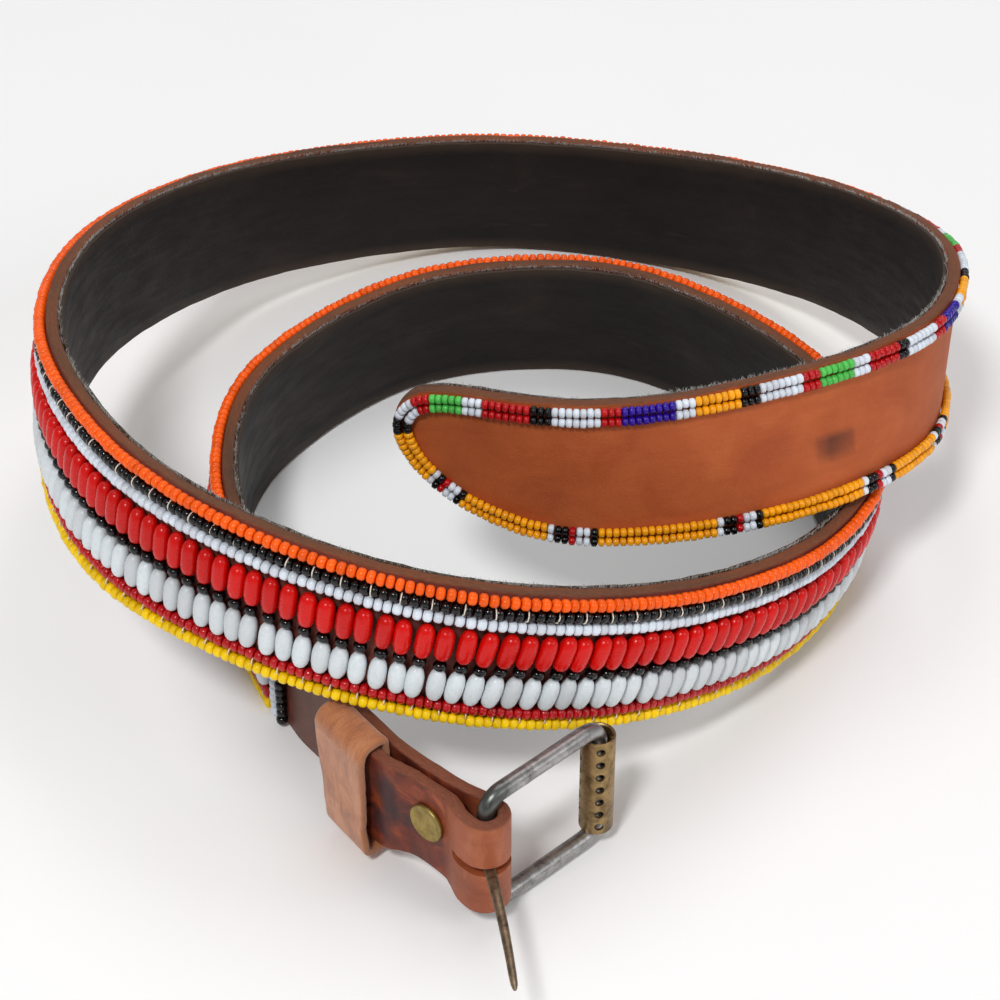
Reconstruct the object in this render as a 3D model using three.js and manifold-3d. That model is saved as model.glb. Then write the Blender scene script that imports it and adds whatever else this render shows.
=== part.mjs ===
// A leather belt covered with rows of glass beads, unfastened and left standing on its lower edge in a
// loose coil. The buckle end begins the coil and the rounded tip ends it, over the first turn.
import * as THREE from "three";
import { mergeVertices } from "three/addons/utils/BufferGeometryUtils.js";
import Module from "manifold-3d";

// Strap and lining, in millimetres
const strapWidth = 38;
const leatherThickness = 3.2;
const liningThickness = 0.9;
const liningInset = 0.5;
const pieceGap = 0.3;
const beadGap = 0.5;

// Coil: size of the plan, and how far beads stand off the strap, which lifts a leaning stretch
const coilWidth = 230;
const leanDepth = 4.6;

// Buckle end
const narrowShare = 0.71;
const narrowUntil = 38;
const fullWidthFrom = 74;
const liningStart = 50;
const flapSpacing = 0.4;
const barBehindStart = 5;
const barOffset = 1.8;
const foldHeight = 25.7;

// Buckle
const wireDiameter = 4.1;
const frameInnerHeight = 28.6;
const frameReach = 35;
const frameHeading = 44;
const frameCornerRadius = 4.5;
const barClearance = 0.4;
const rollerDiameter = 8;
const rollerWall = 0.7;
const rollerEndClearance = 0.5;
const rollerHoleDiameter = 2.1;
const rollerHolePitch = 3.8;
const rollerHoleColumns = 4;
const rollerHoleRows = 7;
const rollerHoleTurn = 8;
const prongLength = 40;
const prongHeading = -81;
const prongRootWidth = 2.8;
const prongTipWidth = 1.7;
const prongThickness = 1.6;
const prongRingWall = 1.4;
const prongRingClearance = 0.3;
const slotClearance = 0.35;
const slotFlapEnd = 0.6;
const slotStrapEnd = -0.6;

// Keeper and rivet
const keeperStart = 24.5;
const keeperWidth = 16;
const keeperWall = 1.8;
const keeperEdgeClearance = 1.2;
const keeperFrontClearance = 1.4;
const rivetPosition = 9.8;
const rivetHeight = 2.6;
const rivetHeadDiameter = 9.6;
const rivetHeadThickness = 1;
const rivetShankDiameter = 3.2;
const rivetHoleClearance = 0.3;
const rivetCapDiameter = 7;

// Beading
const beadingStart = 82;
const tipBorderLength = 239;
const borderSetback = 4;
const seedDepth = 2.6;
const ovalDepth = 4;
const spacerDepth = 2;
const startBarWidth = 2.6;
const startBarDepth = 2.6;
const startBarMargin = 1.2;
const borderRowWidth = 2.1;
const borderRowDepth = 2.1;

// Plan of the coil, a row per bend: x and y as shares of the coil width, rise of the lower edge as a share
// of the strap width, lean of the upper edge to the inside in degrees
const coilRows = [
  { x: -0.023, y: -0.479, rise: 0, lean: 0 },
  { x: -0.124, y: -0.374, rise: 0, lean: 0 },
  { x: -0.235, y: -0.183, rise: 0, lean: 0 },
  { x: -0.3, y: 0.022, rise: 0, lean: 1 },
  { x: -0.27, y: 0.228, rise: 0, lean: 3 },
  { x: -0.1, y: 0.411, rise: 0, lean: 7 },
  { x: 0.135, y: 0.436, rise: 0, lean: 7 },
  { x: 0.322, y: 0.286, rise: 0, lean: 3 },
  { x: 0.396, y: 0.063, rise: 0.02, lean: -10 },
  { x: 0.322, y: -0.126, rise: 0.13, lean: -12 },
  { x: 0.165, y: -0.291, rise: 0.49, lean: -7 },
  { x: -0.026, y: -0.37, rise: 0.87, lean: -1 },
  { x: -0.226, y: -0.322, rise: 1.03, lean: 6 },
  { x: -0.396, y: -0.174, rise: 1.04, lean: 12 },
  { x: -0.483, y: 0.052, rise: 1, lean: 3 },
  { x: -0.457, y: 0.309, rise: 0.8, lean: -1 },
  { x: -0.304, y: 0.583, rise: 0.35, lean: 0 },
  { x: -0.035, y: 0.735, rise: 0.05, lean: 2 },
  { x: 0.222, y: 0.697, rise: 0.03, lean: -3 },
  { x: 0.413, y: 0.517, rise: 0.35, lean: -4 },
  { x: 0.5, y: 0.261, rise: 0.8, lean: -6 },
  { x: 0.461, y: 0.048, rise: 1.03, lean: 4 },
  { x: 0.304, y: -0.087, rise: 1.12, lean: 12 },
  { x: 0.096, y: -0.139, rise: 1.13, lean: 5 },
  { x: -0.107, y: -0.084, rise: 1.14, lean: -4 },
];

// Outline of the tip: distance back from the nose, and the upper and lower edge, as shares of the strap
// width measured from its middle line
const tipRows = [
  { back: 1.1, upper: 0.5, lower: -0.5 },
  { back: 0.9, upper: 0.5, lower: -0.488 },
  { back: 0.7, upper: 0.5, lower: -0.455 },
  { back: 0.55, upper: 0.5, lower: -0.415 },
  { back: 0.42, upper: 0.495, lower: -0.365 },
  { back: 0.29, upper: 0.48, lower: -0.29 },
  { back: 0.16, upper: 0.435, lower: -0.18 },
  { back: 0.07, upper: 0.365, lower: -0.06 },
  { back: 0.02, upper: 0.285, lower: 0.05 },
  { back: 0, upper: 0.215, lower: 0.13 },
];

// Flap and fold along the strip, from the end of the flap to the bar: distance along the strap from its
// start, extra spacing from the strap, and the upper and lower edge as shares of the strap width. The flap
// stands off the strap by the back of the keeper, which lies between them.
const keeperLift = keeperWall + 2 * pieceGap - flapSpacing;
const flapRows = [
  { along: 34, spacing: keeperLift, upper: 0.36, lower: -0.35 },
  { along: 23, spacing: keeperLift, upper: 0.355, lower: -0.345 },
  { along: 19, spacing: keeperLift * 0.5, upper: 0.34, lower: -0.32 },
  { along: 15.2, spacing: 0, upper: 0.333, lower: -0.305 },
  { along: 9.8, spacing: 0, upper: 0.33, lower: -0.3 },
  { along: 4.6, spacing: 0.05, upper: 0.333, lower: -0.315 },
  { along: 1.8, spacing: 0.8, upper: 0.335, lower: -0.33 },
  { along: -1.5, spacing: 2, upper: 0.338, lower: -0.338 },
];

// Start of the strap beside the bar: distance along it and how far its middle is set to the inside
const startRows = [
  { along: -1.5, inward: 1.75, share: 0.69 },
  { along: 2, inward: 0.7, share: 0.7 },
  { along: 6, inward: 0.1, share: 0.71 },
];

// Bead rows of the full beading, from the upper edge down: middle below the upper edge and height over the
// strap as shares of the strap width, depth off it, colour and gloss
const beadRows = [
  { name: "orange_row", middle: 0.04, height: 0.074, depth: seedDepth, colour: 0xff6a10, roughness: 0.25 },
  { name: "black_row", middle: 0.127, height: 0.074, depth: seedDepth, colour: 0x100e14, roughness: 0.2 },
  { name: "white_row", middle: 0.216, height: 0.076, depth: seedDepth, colour: 0xe4ebf2, roughness: 0.25 },
  { name: "red_oval_band", middle: 0.392, height: 0.229, depth: ovalDepth, colour: 0xd2120c, roughness: 0.2 },
  { name: "spacer_row", middle: 0.547, height: 0.055, depth: spacerDepth, colour: 0x0e0c10, roughness: 0.2 },
  { name: "white_oval_band", middle: 0.703, height: 0.229, depth: ovalDepth, colour: 0xe2e8ea, roughness: 0.2 },
  { name: "red_row", middle: 0.868, height: 0.074, depth: seedDepth, colour: 0xc01a1c, roughness: 0.25 },
  { name: "yellow_row", middle: 0.958, height: 0.074, depth: seedDepth, colour: 0xf8d414, roughness: 0.3 },
];

const tipBorderRows = [
  { name: "tip_border_outer", inset: 1.35, colour: 0xf2a41a },
  { name: "tip_border_inner", inset: 3.95, colour: 0xf2a41a },
];

// Bars before the beading: middle before its start, as a share of a bar's width
const startBars = [
  { name: "start_bar_black", before: 2.54, colour: 0x100e14 },
  { name: "start_bar_white", before: 1.15, colour: 0xe4ebf2 },
];

const wasm = await Module();
wasm.setup();

const radians = THREE.MathUtils.degToRad;
const upright = new THREE.Vector3(0, 0, 1);
const halfLeather = leatherThickness / 2;

// Middle line of the strap
const bends = coilRows.map((row) => {
  const lean = radians(row.lean);
  const height =
    row.rise * strapWidth + (strapWidth / 2) * Math.cos(lean) + leanDepth * Math.abs(Math.sin(lean));
  return { x: row.x * coilWidth, y: row.y * coilWidth, z: height, lean };
});
const lastBend = bends.length - 1;

function bendValue(index, column) {
  const inner = index < 0 ? 1 : lastBend - 1;
  const end = index < 0 ? 0 : lastBend;
  if (index >= 0 && index <= lastBend) {
    return bends[index][column];
  }
  if (column === "x" || column === "y") {
    return 2 * bends[end][column] - bends[inner][column];
  }
  return bends[inner][column];
}

function columnAt(column, position) {
  const index = Math.min(Math.floor(position), lastBend - 1);
  const u = position - index;
  const a = bendValue(index - 1, column);
  const b = bendValue(index, column);
  const c = bendValue(index + 1, column);
  const d = bendValue(index + 2, column);
  const first = c - a;
  const second = 2 * a - 5 * b + 4 * c - d;
  const third = -a + 3 * b - 3 * c + d;
  return {
    value: 0.5 * (2 * b + first * u + second * u * u + third * u * u * u),
    slope: 0.5 * (first + 2 * second * u + 3 * third * u * u),
  };
}

function bendFrame(position) {
  const x = columnAt("x", position);
  const y = columnAt("y", position);
  const z = columnAt("z", position);
  const lean = columnAt("lean", position).value;
  const along = new THREE.Vector3(x.slope, y.slope, z.slope).normalize();
  const inward = new THREE.Vector3(y.slope, -x.slope, 0).normalize();
  const rising = new THREE.Vector3().crossVectors(inward, along);
  const up = rising.clone().multiplyScalar(Math.cos(lean)).addScaledVector(inward, Math.sin(lean));
  const out = rising.clone().multiplyScalar(Math.sin(lean)).addScaledVector(inward, -Math.cos(lean));
  return { centre: new THREE.Vector3(x.value, y.value, z.value), along, up, out };
}

// Length of the middle line, sampled finely between bends
const samplesPerBend = 40;
const lengths = [0];
for (let i = 1; i <= lastBend * samplesPerBend; i += 1) {
  const before = bendFrame((i - 1) / samplesPerBend).centre;
  const here = bendFrame(i / samplesPerBend).centre;
  lengths.push(lengths[i - 1] + here.distanceTo(before));
}
const strapLength = lengths[lengths.length - 1];
const tipBorderStart = strapLength - tipBorderLength;
const beadingEnd = tipBorderStart - borderSetback;

function lengthAtBend(position) {
  const at = position * samplesPerBend;
  const index = Math.min(Math.floor(at), lengths.length - 2);
  return lengths[index] + (lengths[index + 1] - lengths[index]) * (at - index);
}

function frameAt(along) {
  if (along < 0) {
    const start = bendFrame(0);
    start.centre.addScaledVector(start.along, along);
    return start;
  }
  let index = 0;
  while (index < lengths.length - 2 && lengths[index + 1] < along) {
    index += 1;
  }
  const share = (along - lengths[index]) / (lengths[index + 1] - lengths[index]);
  return bendFrame(Math.min((index + share) / samplesPerBend, lastBend));
}

// A point given along the strap, up from its middle line and out from its middle layer
function onStrap(along, up, out) {
  const frame = frameAt(along);
  return frame.centre.clone().addScaledVector(frame.up, up).addScaledVector(frame.out, out);
}

// A closed solid through rings of points, each ring going round the same way. Both halves of a ring split
// their faces along the same diagonal, so that faces of neighbouring solids stay parallel.
function loft(rings) {
  const points = [];
  const faces = [];
  const count = rings[0].length;
  rings.forEach((ring) => ring.forEach((p) => points.push(p.x, p.y, p.z)));
  for (let r = 0; r < rings.length - 1; r += 1) {
    for (let i = 0; i < count; i += 1) {
      const a = r * count + i;
      const b = r * count + ((i + 1) % count);
      if (i < count / 2) {
        faces.push(a, b, a + count, b, b + count, a + count);
      } else {
        faces.push(a, b, b + count, a, b + count, a + count);
      }
    }
  }
  const last = (rings.length - 1) * count;
  for (let i = 1; i < count - 1; i += 1) {
    faces.push(0, i + 1, i);
    faces.push(last, last + i, last + i + 1);
  }
  const geometry = new THREE.BufferGeometry();
  geometry.setAttribute("position", new THREE.Float32BufferAttribute(points, 3));
  geometry.setIndex(faces);
  return solidOf(geometry);
}

// A solid whose rings also close on each other, end to end
function closedLoft(rings) {
  const points = [];
  const faces = [];
  const count = rings[0].length;
  rings.forEach((ring) => ring.forEach((p) => points.push(p.x, p.y, p.z)));
  for (let r = 0; r < rings.length; r += 1) {
    const next = ((r + 1) % rings.length) * count;
    for (let i = 0; i < count; i += 1) {
      const a = r * count + i;
      const b = r * count + ((i + 1) % count);
      const c = next + i;
      const d = next + ((i + 1) % count);
      faces.push(a, b, c, b, d, c);
    }
  }
  const geometry = new THREE.BufferGeometry();
  geometry.setAttribute("position", new THREE.Float32BufferAttribute(points, 3));
  geometry.setIndex(faces);
  return solidOf(geometry);
}

function solidOf(geometry) {
  geometry.deleteAttribute("normal");
  geometry.deleteAttribute("uv");
  const merged = mergeVertices(geometry, 1e-4);
  return new wasm.Manifold(
    new wasm.Mesh({
      numProp: 3,
      vertProperties: new Float32Array(merged.attributes.position.array),
      triVerts: new Uint32Array(merged.index.array),
    }),
  );
}

const belt = new THREE.Group();

function addPiece(name, solid, look) {
  const mesh = solid.getMesh();
  const step = mesh.numProp;
  const points = [];
  for (let i = 0; i < mesh.numVert; i += 1) {
    points.push(...mesh.vertProperties.subarray(i * step, i * step + 3));
  }
  const geometry = new THREE.BufferGeometry();
  geometry.setAttribute("position", new THREE.Float32BufferAttribute(points, 3));
  geometry.setIndex(new THREE.BufferAttribute(new Uint32Array(mesh.triVerts), 1));
  geometry.computeVertexNormals();
  const piece = new THREE.Mesh(geometry, new THREE.MeshStandardMaterial(look));
  piece.name = name;
  belt.add(piece);
}

// Half the width of the strap as a share, narrow at the buckle and full under the beading
function halfShareAt(along) {
  const t = THREE.MathUtils.smoothstep(along, narrowUntil, fullWidthFrom);
  return (narrowShare + (1 - narrowShare) * t) / 2;
}

// Stations along the strap: close together beside the buckle, then five to every two bends
const nearStations = [12, 18, 24.5, 31, 38, 46, 54, 62, 70, 77];
const bendStations = [];
const stationsPerBend = 2.5;
for (let i = 2 * stationsPerBend; i <= stationsPerBend * (lastBend - 1); i += 1) {
  bendStations.push(lengthAtBend(i / stationsPerBend));
}
const tipStart = strapLength - tipRows[0].back * strapWidth;
const mainStations = [...nearStations, ...bendStations.filter((s) => s < tipStart - 4)];

// Strap
const start = bendFrame(0);
const bar = start.centre
  .clone()
  .addScaledVector(start.along, -barBehindStart)
  .addScaledVector(start.out, barOffset);
const foldRadius = wireDiameter / 2 + barClearance + halfLeather;
const flapOffset = leatherThickness + flapSpacing;

function stripRing(centre, out, upper, lower) {
  const corner = (side, height) =>
    centre.clone().addScaledVector(out, side * halfLeather).addScaledVector(upright, height);
  const half = (upper + lower) / 2;
  return [
    corner(1, upper),
    corner(-1, upper),
    corner(-1, half),
    corner(-1, lower),
    corner(1, lower),
    corner(1, half),
  ];
}

// A section through a flat strip on the strap, with a corner at half height on each face
function stripSection(along, upper, lower, near, far) {
  const half = (upper + lower) / 2;
  return [
    onStrap(along, upper, near),
    onStrap(along, upper, far),
    onStrap(along, half, far),
    onStrap(along, lower, far),
    onStrap(along, lower, near),
    onStrap(along, half, near),
  ];
}

function strapRing(along, upper, lower) {
  return stripSection(along, upper, lower, halfLeather, -halfLeather);
}

const stripPoints = [];
flapRows.forEach((row) => {
  const frame = frameAt(row.along);
  stripPoints.push({
    centre: frame.centre.clone().addScaledVector(frame.out, flapOffset + row.spacing),
    upper: row.upper * strapWidth,
    lower: row.lower * strapWidth,
  });
});
const foldSteps = 8;
for (let i = 0; i <= foldSteps; i += 1) {
  const angle = Math.PI / 2 + (Math.PI * i) / foldSteps;
  stripPoints.push({
    centre: bar
      .clone()
      .addScaledVector(start.along, foldRadius * Math.cos(angle))
      .addScaledVector(start.out, foldRadius * Math.sin(angle)),
    upper: foldHeight / 2,
    lower: -foldHeight / 2,
  });
}
startRows.forEach((row) => {
  const frame = frameAt(row.along);
  stripPoints.push({
    centre: frame.centre.clone().addScaledVector(frame.out, -row.inward),
    upper: (row.share * strapWidth) / 2,
    lower: (-row.share * strapWidth) / 2,
  });
});
const joinFrame = frameAt(nearStations[0]);
const stripRings = stripPoints.map((point, i) => {
  const before = i > 0 ? stripPoints[i - 1].centre : point.centre;
  const after = i < stripPoints.length - 1 ? stripPoints[i + 1].centre : joinFrame.centre;
  const run = after.clone().sub(before).setZ(0).normalize();
  const out = new THREE.Vector3(-run.y, run.x, 0);
  return stripRing(point.centre, out, point.upper, point.lower);
});
const mainRings = mainStations.map((s) => {
  const half = halfShareAt(s) * strapWidth;
  return strapRing(s, half, -half);
});
const tipRings = tipRows.map((row) =>
  strapRing(strapLength - row.back * strapWidth, row.upper * strapWidth, row.lower * strapWidth),
);

// A block given along, out and up from the middle of the strap's start
function startBlock(alongRange, outRange, upRange) {
  const rings = alongRange.map((a) => {
    const point = (o, z) =>
      start.centre
        .clone()
        .addScaledVector(start.along, a)
        .addScaledVector(start.out, o)
        .addScaledVector(upright, z);
    return [
      point(outRange[1], upRange[1]),
      point(outRange[0], upRange[1]),
      point(outRange[0], upRange[0]),
      point(outRange[1], upRange[0]),
    ];
  });
  return loft(rings);
}

const slotHalf = prongThickness / 2 + slotClearance;
const foldEnd = -barBehindStart - foldRadius - leatherThickness;
const outside = barOffset + foldRadius + leatherThickness + 2;
const slot = startBlock([foldEnd, slotStrapEnd], [-outside, outside], [-slotHalf, slotHalf]).add(
  startBlock([slotStrapEnd - 1, slotFlapEnd], [barOffset, outside], [-slotHalf, slotHalf]),
);

// A turned solid whose axis points out of the strap at a place along it and up from its middle line
function turnedOnStrap(profile, along, height, sides) {
  const frame = frameAt(along);
  const geometry = new THREE.LatheGeometry(
    profile.map((p) => new THREE.Vector2(p[0], p[1])),
    sides,
  );
  const across = new THREE.Vector3().crossVectors(frame.out, frame.up);
  const placing = new THREE.Matrix4().makeBasis(frame.up, frame.out, across.negate());
  placing.setPosition(frame.centre.clone().addScaledVector(frame.up, height));
  geometry.applyMatrix4(placing);
  return solidOf(geometry);
}

const rivetSides = 20;
const holeRadius = rivetShankDiameter / 2 + rivetHoleClearance;
const rivetHole = turnedOnStrap(
  [
    [0, -6],
    [holeRadius, -6],
    [holeRadius, 12],
    [0, 12],
  ],
  rivetPosition,
  rivetHeight,
  rivetSides,
);

const strap = loft([...stripRings, ...mainRings, ...tipRings]).subtract(slot).subtract(rivetHole);
addPiece("strap", strap, { color: 0xb0602c, roughness: 0.6, metalness: 0 });

// Lining on the inner face
const liningMiddle = -halfLeather - pieceGap - liningThickness / 2;

function liningRing(along, upper, lower) {
  const near = liningMiddle + liningThickness / 2;
  const far = liningMiddle - liningThickness / 2;
  return stripSection(along, upper - liningInset, lower + liningInset, near, far);
}

const liningStations = mainStations.filter((s) => s > liningStart);
const liningRings = liningStations.map((s) => {
  const half = halfShareAt(s) * strapWidth;
  return liningRing(s, half, -half);
});
const liningTip = tipRows
  .filter((row) => row.back > 0.05)
  .map((row) =>
    liningRing(strapLength - row.back * strapWidth, row.upper * strapWidth, row.lower * strapWidth),
  );
addPiece("lining", loft([...liningRings, ...liningTip]), { color: 0x1e1612, roughness: 0.5, metalness: 0 });

// Rivet through the flap and the strap
const headBase = flapOffset + halfLeather + pieceGap;
const capTop = -halfLeather - pieceGap;
const headRadius = rivetHeadDiameter / 2;
const capRadius = rivetCapDiameter / 2;
const shankRadius = rivetShankDiameter / 2;
const rivet = turnedOnStrap(
  [
    [0, capTop - rivetHeadThickness],
    [capRadius - 0.4, capTop - rivetHeadThickness],
    [capRadius, capTop - rivetHeadThickness + 0.4],
    [capRadius, capTop],
    [shankRadius, capTop],
    [shankRadius, headBase],
    [headRadius, headBase],
    [headRadius, headBase + rivetHeadThickness - 0.3],
    [headRadius - 0.3, headBase + rivetHeadThickness],
    [headRadius - 0.8, headBase + rivetHeadThickness],
    [headRadius - 1, headBase + rivetHeadThickness - 0.15],
    [0, headBase + rivetHeadThickness - 0.15],
  ],
  rivetPosition,
  rivetHeight,
  rivetSides,
);
addPiece("rivet", rivet, { color: 0x9a8850, roughness: 0.4, metalness: 0.9 });

// Keeper: a band round the flap, its back held between the flap and the strap
const keeperInnerFar = halfLeather + pieceGap + keeperWall;
const keeperInnerNear = flapOffset + keeperLift + halfLeather + keeperFrontClearance;
const keeperInnerTop = (narrowShare * strapWidth) / 2 + keeperEdgeClearance;
const keeperCornerCut = 0.8;

// Points round the keeper's hole, pushed out by a distance
function keeperOutline(push) {
  const top = keeperInnerTop + push;
  const near = keeperInnerNear + push;
  const far = keeperInnerFar - push;
  const cut = keeperCornerCut + push * 0.6;
  return [
    [top, near - cut],
    [top, far + cut],
    [top - cut, far],
    [-top + cut, far],
    [-top, far + cut],
    [-top, near - cut],
    [-top + cut, near],
    [top - cut, near],
  ];
}

// The mouth of the loop stands a little wider at the end nearer the buckle, and the other end slants away
const keeperSections = [
  { along: keeperStart, flare: 0.7, slant: 0 },
  { along: keeperStart + keeperWidth / 2, flare: 0.2, slant: 0.06 },
  { along: keeperStart + keeperWidth, flare: 0, slant: 0.13 },
];

function keeperRings(push) {
  return keeperSections.map((section) =>
    keeperOutline(push).map(([up, out]) => {
      const near = out > (keeperInnerFar + keeperInnerNear) / 2;
      return onStrap(section.along + section.slant * up, up, out + (near ? section.flare : 0));
    }),
  );
}
const outerKeeper = keeperRings(keeperWall);
const innerKeeper = keeperRings(0);
const keeperBands = outerKeeper[0].map((unused, i) => [
  ...innerKeeper.map((ring) => ring[i]),
  ...outerKeeper.map((ring) => ring[i]).reverse(),
]);
addPiece("keeper", closedLoft(keeperBands), { color: 0xbe7d50, roughness: 0.9, metalness: 0 });

// Buckle frame: a rounded rectangle of wire standing in the plane of the bar and the roller
const reach = new THREE.Vector3(Math.cos(radians(frameHeading)), Math.sin(radians(frameHeading)), 0);
const halfFrame = frameInnerHeight / 2 + wireDiameter / 2;
const wireSides = 8;
const cornerSteps = 4;
const wireRings = [];
const frameCorners = [
  { across: 0, height: 1, from: 180 },
  { across: 1, height: 1, from: 90 },
  { across: 1, height: -1, from: 0 },
  { across: 0, height: -1, from: -90 },
];
frameCorners.forEach((corner) => {
  const side = corner.across === 0 ? 1 : -1;
  const centreAcross = corner.across * frameReach + side * frameCornerRadius;
  const centreHeight = corner.height * (halfFrame - frameCornerRadius);
  for (let i = 0; i <= cornerSteps; i += 1) {
    const angle = radians(corner.from - (90 * i) / cornerSteps);
    const ring = [];
    for (let k = 0; k < wireSides; k += 1) {
      const turn = (-2 * Math.PI * (k + 0.5)) / wireSides;
      const radius = frameCornerRadius + (wireDiameter / 2) * Math.cos(turn);
      const across = centreAcross + radius * Math.cos(angle);
      const height = centreHeight + radius * Math.sin(angle);
      const sideways = new THREE.Vector3(-reach.y, reach.x, 0);
      ring.push(
        bar
          .clone()
          .addScaledVector(reach, across)
          .addScaledVector(upright, height)
          .addScaledVector(sideways, (wireDiameter / 2) * Math.sin(turn)),
      );
    }
    wireRings.push(ring);
  }
});
addPiece("buckle_frame", closedLoft(wireRings), { color: 0xa0a0a5, roughness: 0.35, metalness: 1 });

// Roller on the far bar, pierced by columns of round holes
const rollerLength = frameInnerHeight - 2 * rollerEndClearance;
const rollerSides = 16;
const rollerAt = bar.clone().addScaledVector(reach, frameReach);
const rollerRadius = rollerDiameter / 2;
const boreRadius = rollerRadius - rollerWall;
let roller = wasm.Manifold.cylinder(rollerLength, rollerRadius, rollerRadius, rollerSides, true).subtract(
  wasm.Manifold.cylinder(rollerLength + 2, boreRadius, boreRadius, rollerSides, true),
);
for (let column = 0; column < rollerHoleColumns; column += 1) {
  for (let row = 0; row < rollerHoleRows; row += 1) {
    const holeRadiusHere = rollerHoleDiameter / 2;
    const drill = wasm.Manifold.cylinder(rollerDiameter, holeRadiusHere, holeRadiusHere, 5)
      .rotate([90, 0, (360 * column) / rollerHoleColumns + rollerHoleTurn])
      .translate([0, 0, (row - (rollerHoleRows - 1) / 2) * rollerHolePitch]);
    roller = roller.subtract(drill);
  }
}
addPiece("roller", roller.translate([rollerAt.x, rollerAt.y, rollerAt.z]), {
  color: 0x876e50,
  roughness: 0.45,
  metalness: 0.9,
});

// Prong: a ring round the bar and a tapering shank
const ringInner = wireDiameter / 2 + prongRingClearance;
const ringOuter = ringInner + prongRingWall;
const prongRing = wasm.Manifold.cylinder(prongThickness, ringOuter, ringOuter, 16, true).subtract(
  wasm.Manifold.cylinder(prongThickness + 2, ringInner, ringInner, 16, true),
);
const shankSections = [
  { share: (ringInner + 0.4) / prongLength, width: prongRootWidth, thick: prongThickness },
  { share: 0.35, width: prongRootWidth * 0.85, thick: prongThickness },
  { share: 0.93, width: prongTipWidth, thick: prongThickness * 0.85 },
  { share: 1, width: prongTipWidth * 0.6, thick: prongThickness * 0.5 },
];
const shank = loft(
  shankSections.map((section) => {
    const x = section.share * prongLength;
    const half = section.width / 2;
    const thick = section.thick / 2;
    const edge = 0.3 * section.thick;
    return [
      new THREE.Vector3(x, half - edge, thick),
      new THREE.Vector3(x, -half + edge, thick),
      new THREE.Vector3(x, -half, thick - edge),
      new THREE.Vector3(x, -half, -thick + edge),
      new THREE.Vector3(x, -half + edge, -thick),
      new THREE.Vector3(x, half - edge, -thick),
      new THREE.Vector3(x, half, -thick + edge),
      new THREE.Vector3(x, half, thick - edge),
    ];
  }),
);
const prong = prongRing.add(shank).rotate([0, 0, prongHeading]).translate([bar.x, bar.y, bar.z]);
addPiece("prong", prong, { color: 0x6e5f4b, roughness: 0.4, metalness: 1 });

// Bars of beads across the strap where the beading begins
const rowBase = halfLeather + beadGap;

function tubeRing(place, height, depth) {
  const sides = 8;
  const ring = [];
  for (let i = 0; i < sides; i += 1) {
    const turn = (2 * Math.PI * (i + 0.5)) / sides;
    ring.push(place((height / 2) * Math.cos(turn), rowBase + depth / 2 + (depth / 2) * Math.sin(turn)));
  }
  return ring;
}

startBars.forEach((startBar) => {
  const reachUp = strapWidth / 2 - startBarMargin;
  const barMiddle = beadingStart - startBar.before * startBarWidth;
  const rings = [-reachUp, 0, reachUp].map((height) =>
    tubeRing((side, out) => onStrap(barMiddle - side, height, out), startBarWidth, startBarDepth),
  );
  addPiece(startBar.name, loft(rings.reverse()), { color: startBar.colour, roughness: 0.25, metalness: 0 });
});

// Rows of the full beading
const rowBends = bendStations.filter((s) => s > beadingStart + 1 && s < beadingEnd - 1);
const rowStations = [beadingStart, ...rowBends, beadingEnd];
beadRows.forEach((row) => {
  const middle = (0.5 - row.middle) * strapWidth;
  const rings = rowStations.map((s) =>
    tubeRing((side, out) => onStrap(s, middle - side, out), row.height * strapWidth, row.depth),
  );
  addPiece(row.name, loft(rings), { color: row.colour, roughness: row.roughness, metalness: 0 });
});

// Border rows round the tip: along the upper edge, round the nose and back along the lower edge
const upperOutline = tipRows.map((row) => new THREE.Vector2(-row.back, row.upper));
const lowerOutline = tipRows.map((row) => new THREE.Vector2(-row.back, row.lower)).reverse();
const noseCurve = new THREE.SplineCurve([...upperOutline, ...lowerOutline]);
const noseSteps = 18;
const straightStations = bendStations.filter((s) => s > tipBorderStart + 1 && s < tipStart - 4);

tipBorderRows.forEach((row) => {
  const course = [];
  const edge = strapWidth / 2 - row.inset;
  [tipBorderStart, ...straightStations].forEach((s) => course.push({ along: s, up: edge, normal: [0, 1] }));
  for (let i = 0; i <= noseSteps; i += 1) {
    const point = noseCurve.getPointAt(i / noseSteps);
    const tangent = i === 0 || i === noseSteps ? null : noseCurve.getTangentAt(i / noseSteps);
    const normal = tangent ? [-tangent.y, tangent.x] : [0, i === 0 ? 1 : -1];
    course.push({
      along: strapLength + point.x * strapWidth - normal[0] * row.inset,
      up: point.y * strapWidth - normal[1] * row.inset,
      normal,
    });
  }
  [...straightStations].reverse().forEach((s) => course.push({ along: s, up: -edge, normal: [0, -1] }));
  course.push({ along: tipBorderStart, up: -edge, normal: [0, -1] });
  const rings = course.map((point) =>
    tubeRing(
      (side, out) => onStrap(point.along - side * point.normal[0], point.up - side * point.normal[1], out),
      borderRowWidth,
      borderRowDepth,
    ),
  );
  addPiece(row.name, loft(rings), { color: row.colour, roughness: 0.3, metalness: 0 });
});

// The part stands on its lowest edge with its plan centred
const bounds = new THREE.Box3().setFromObject(belt);
const middle = bounds.getCenter(new THREE.Vector3());
belt.children.forEach((piece) => piece.geometry.translate(-middle.x, -middle.y, -bounds.min.z));

export default belt;
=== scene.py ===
import math

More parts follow.
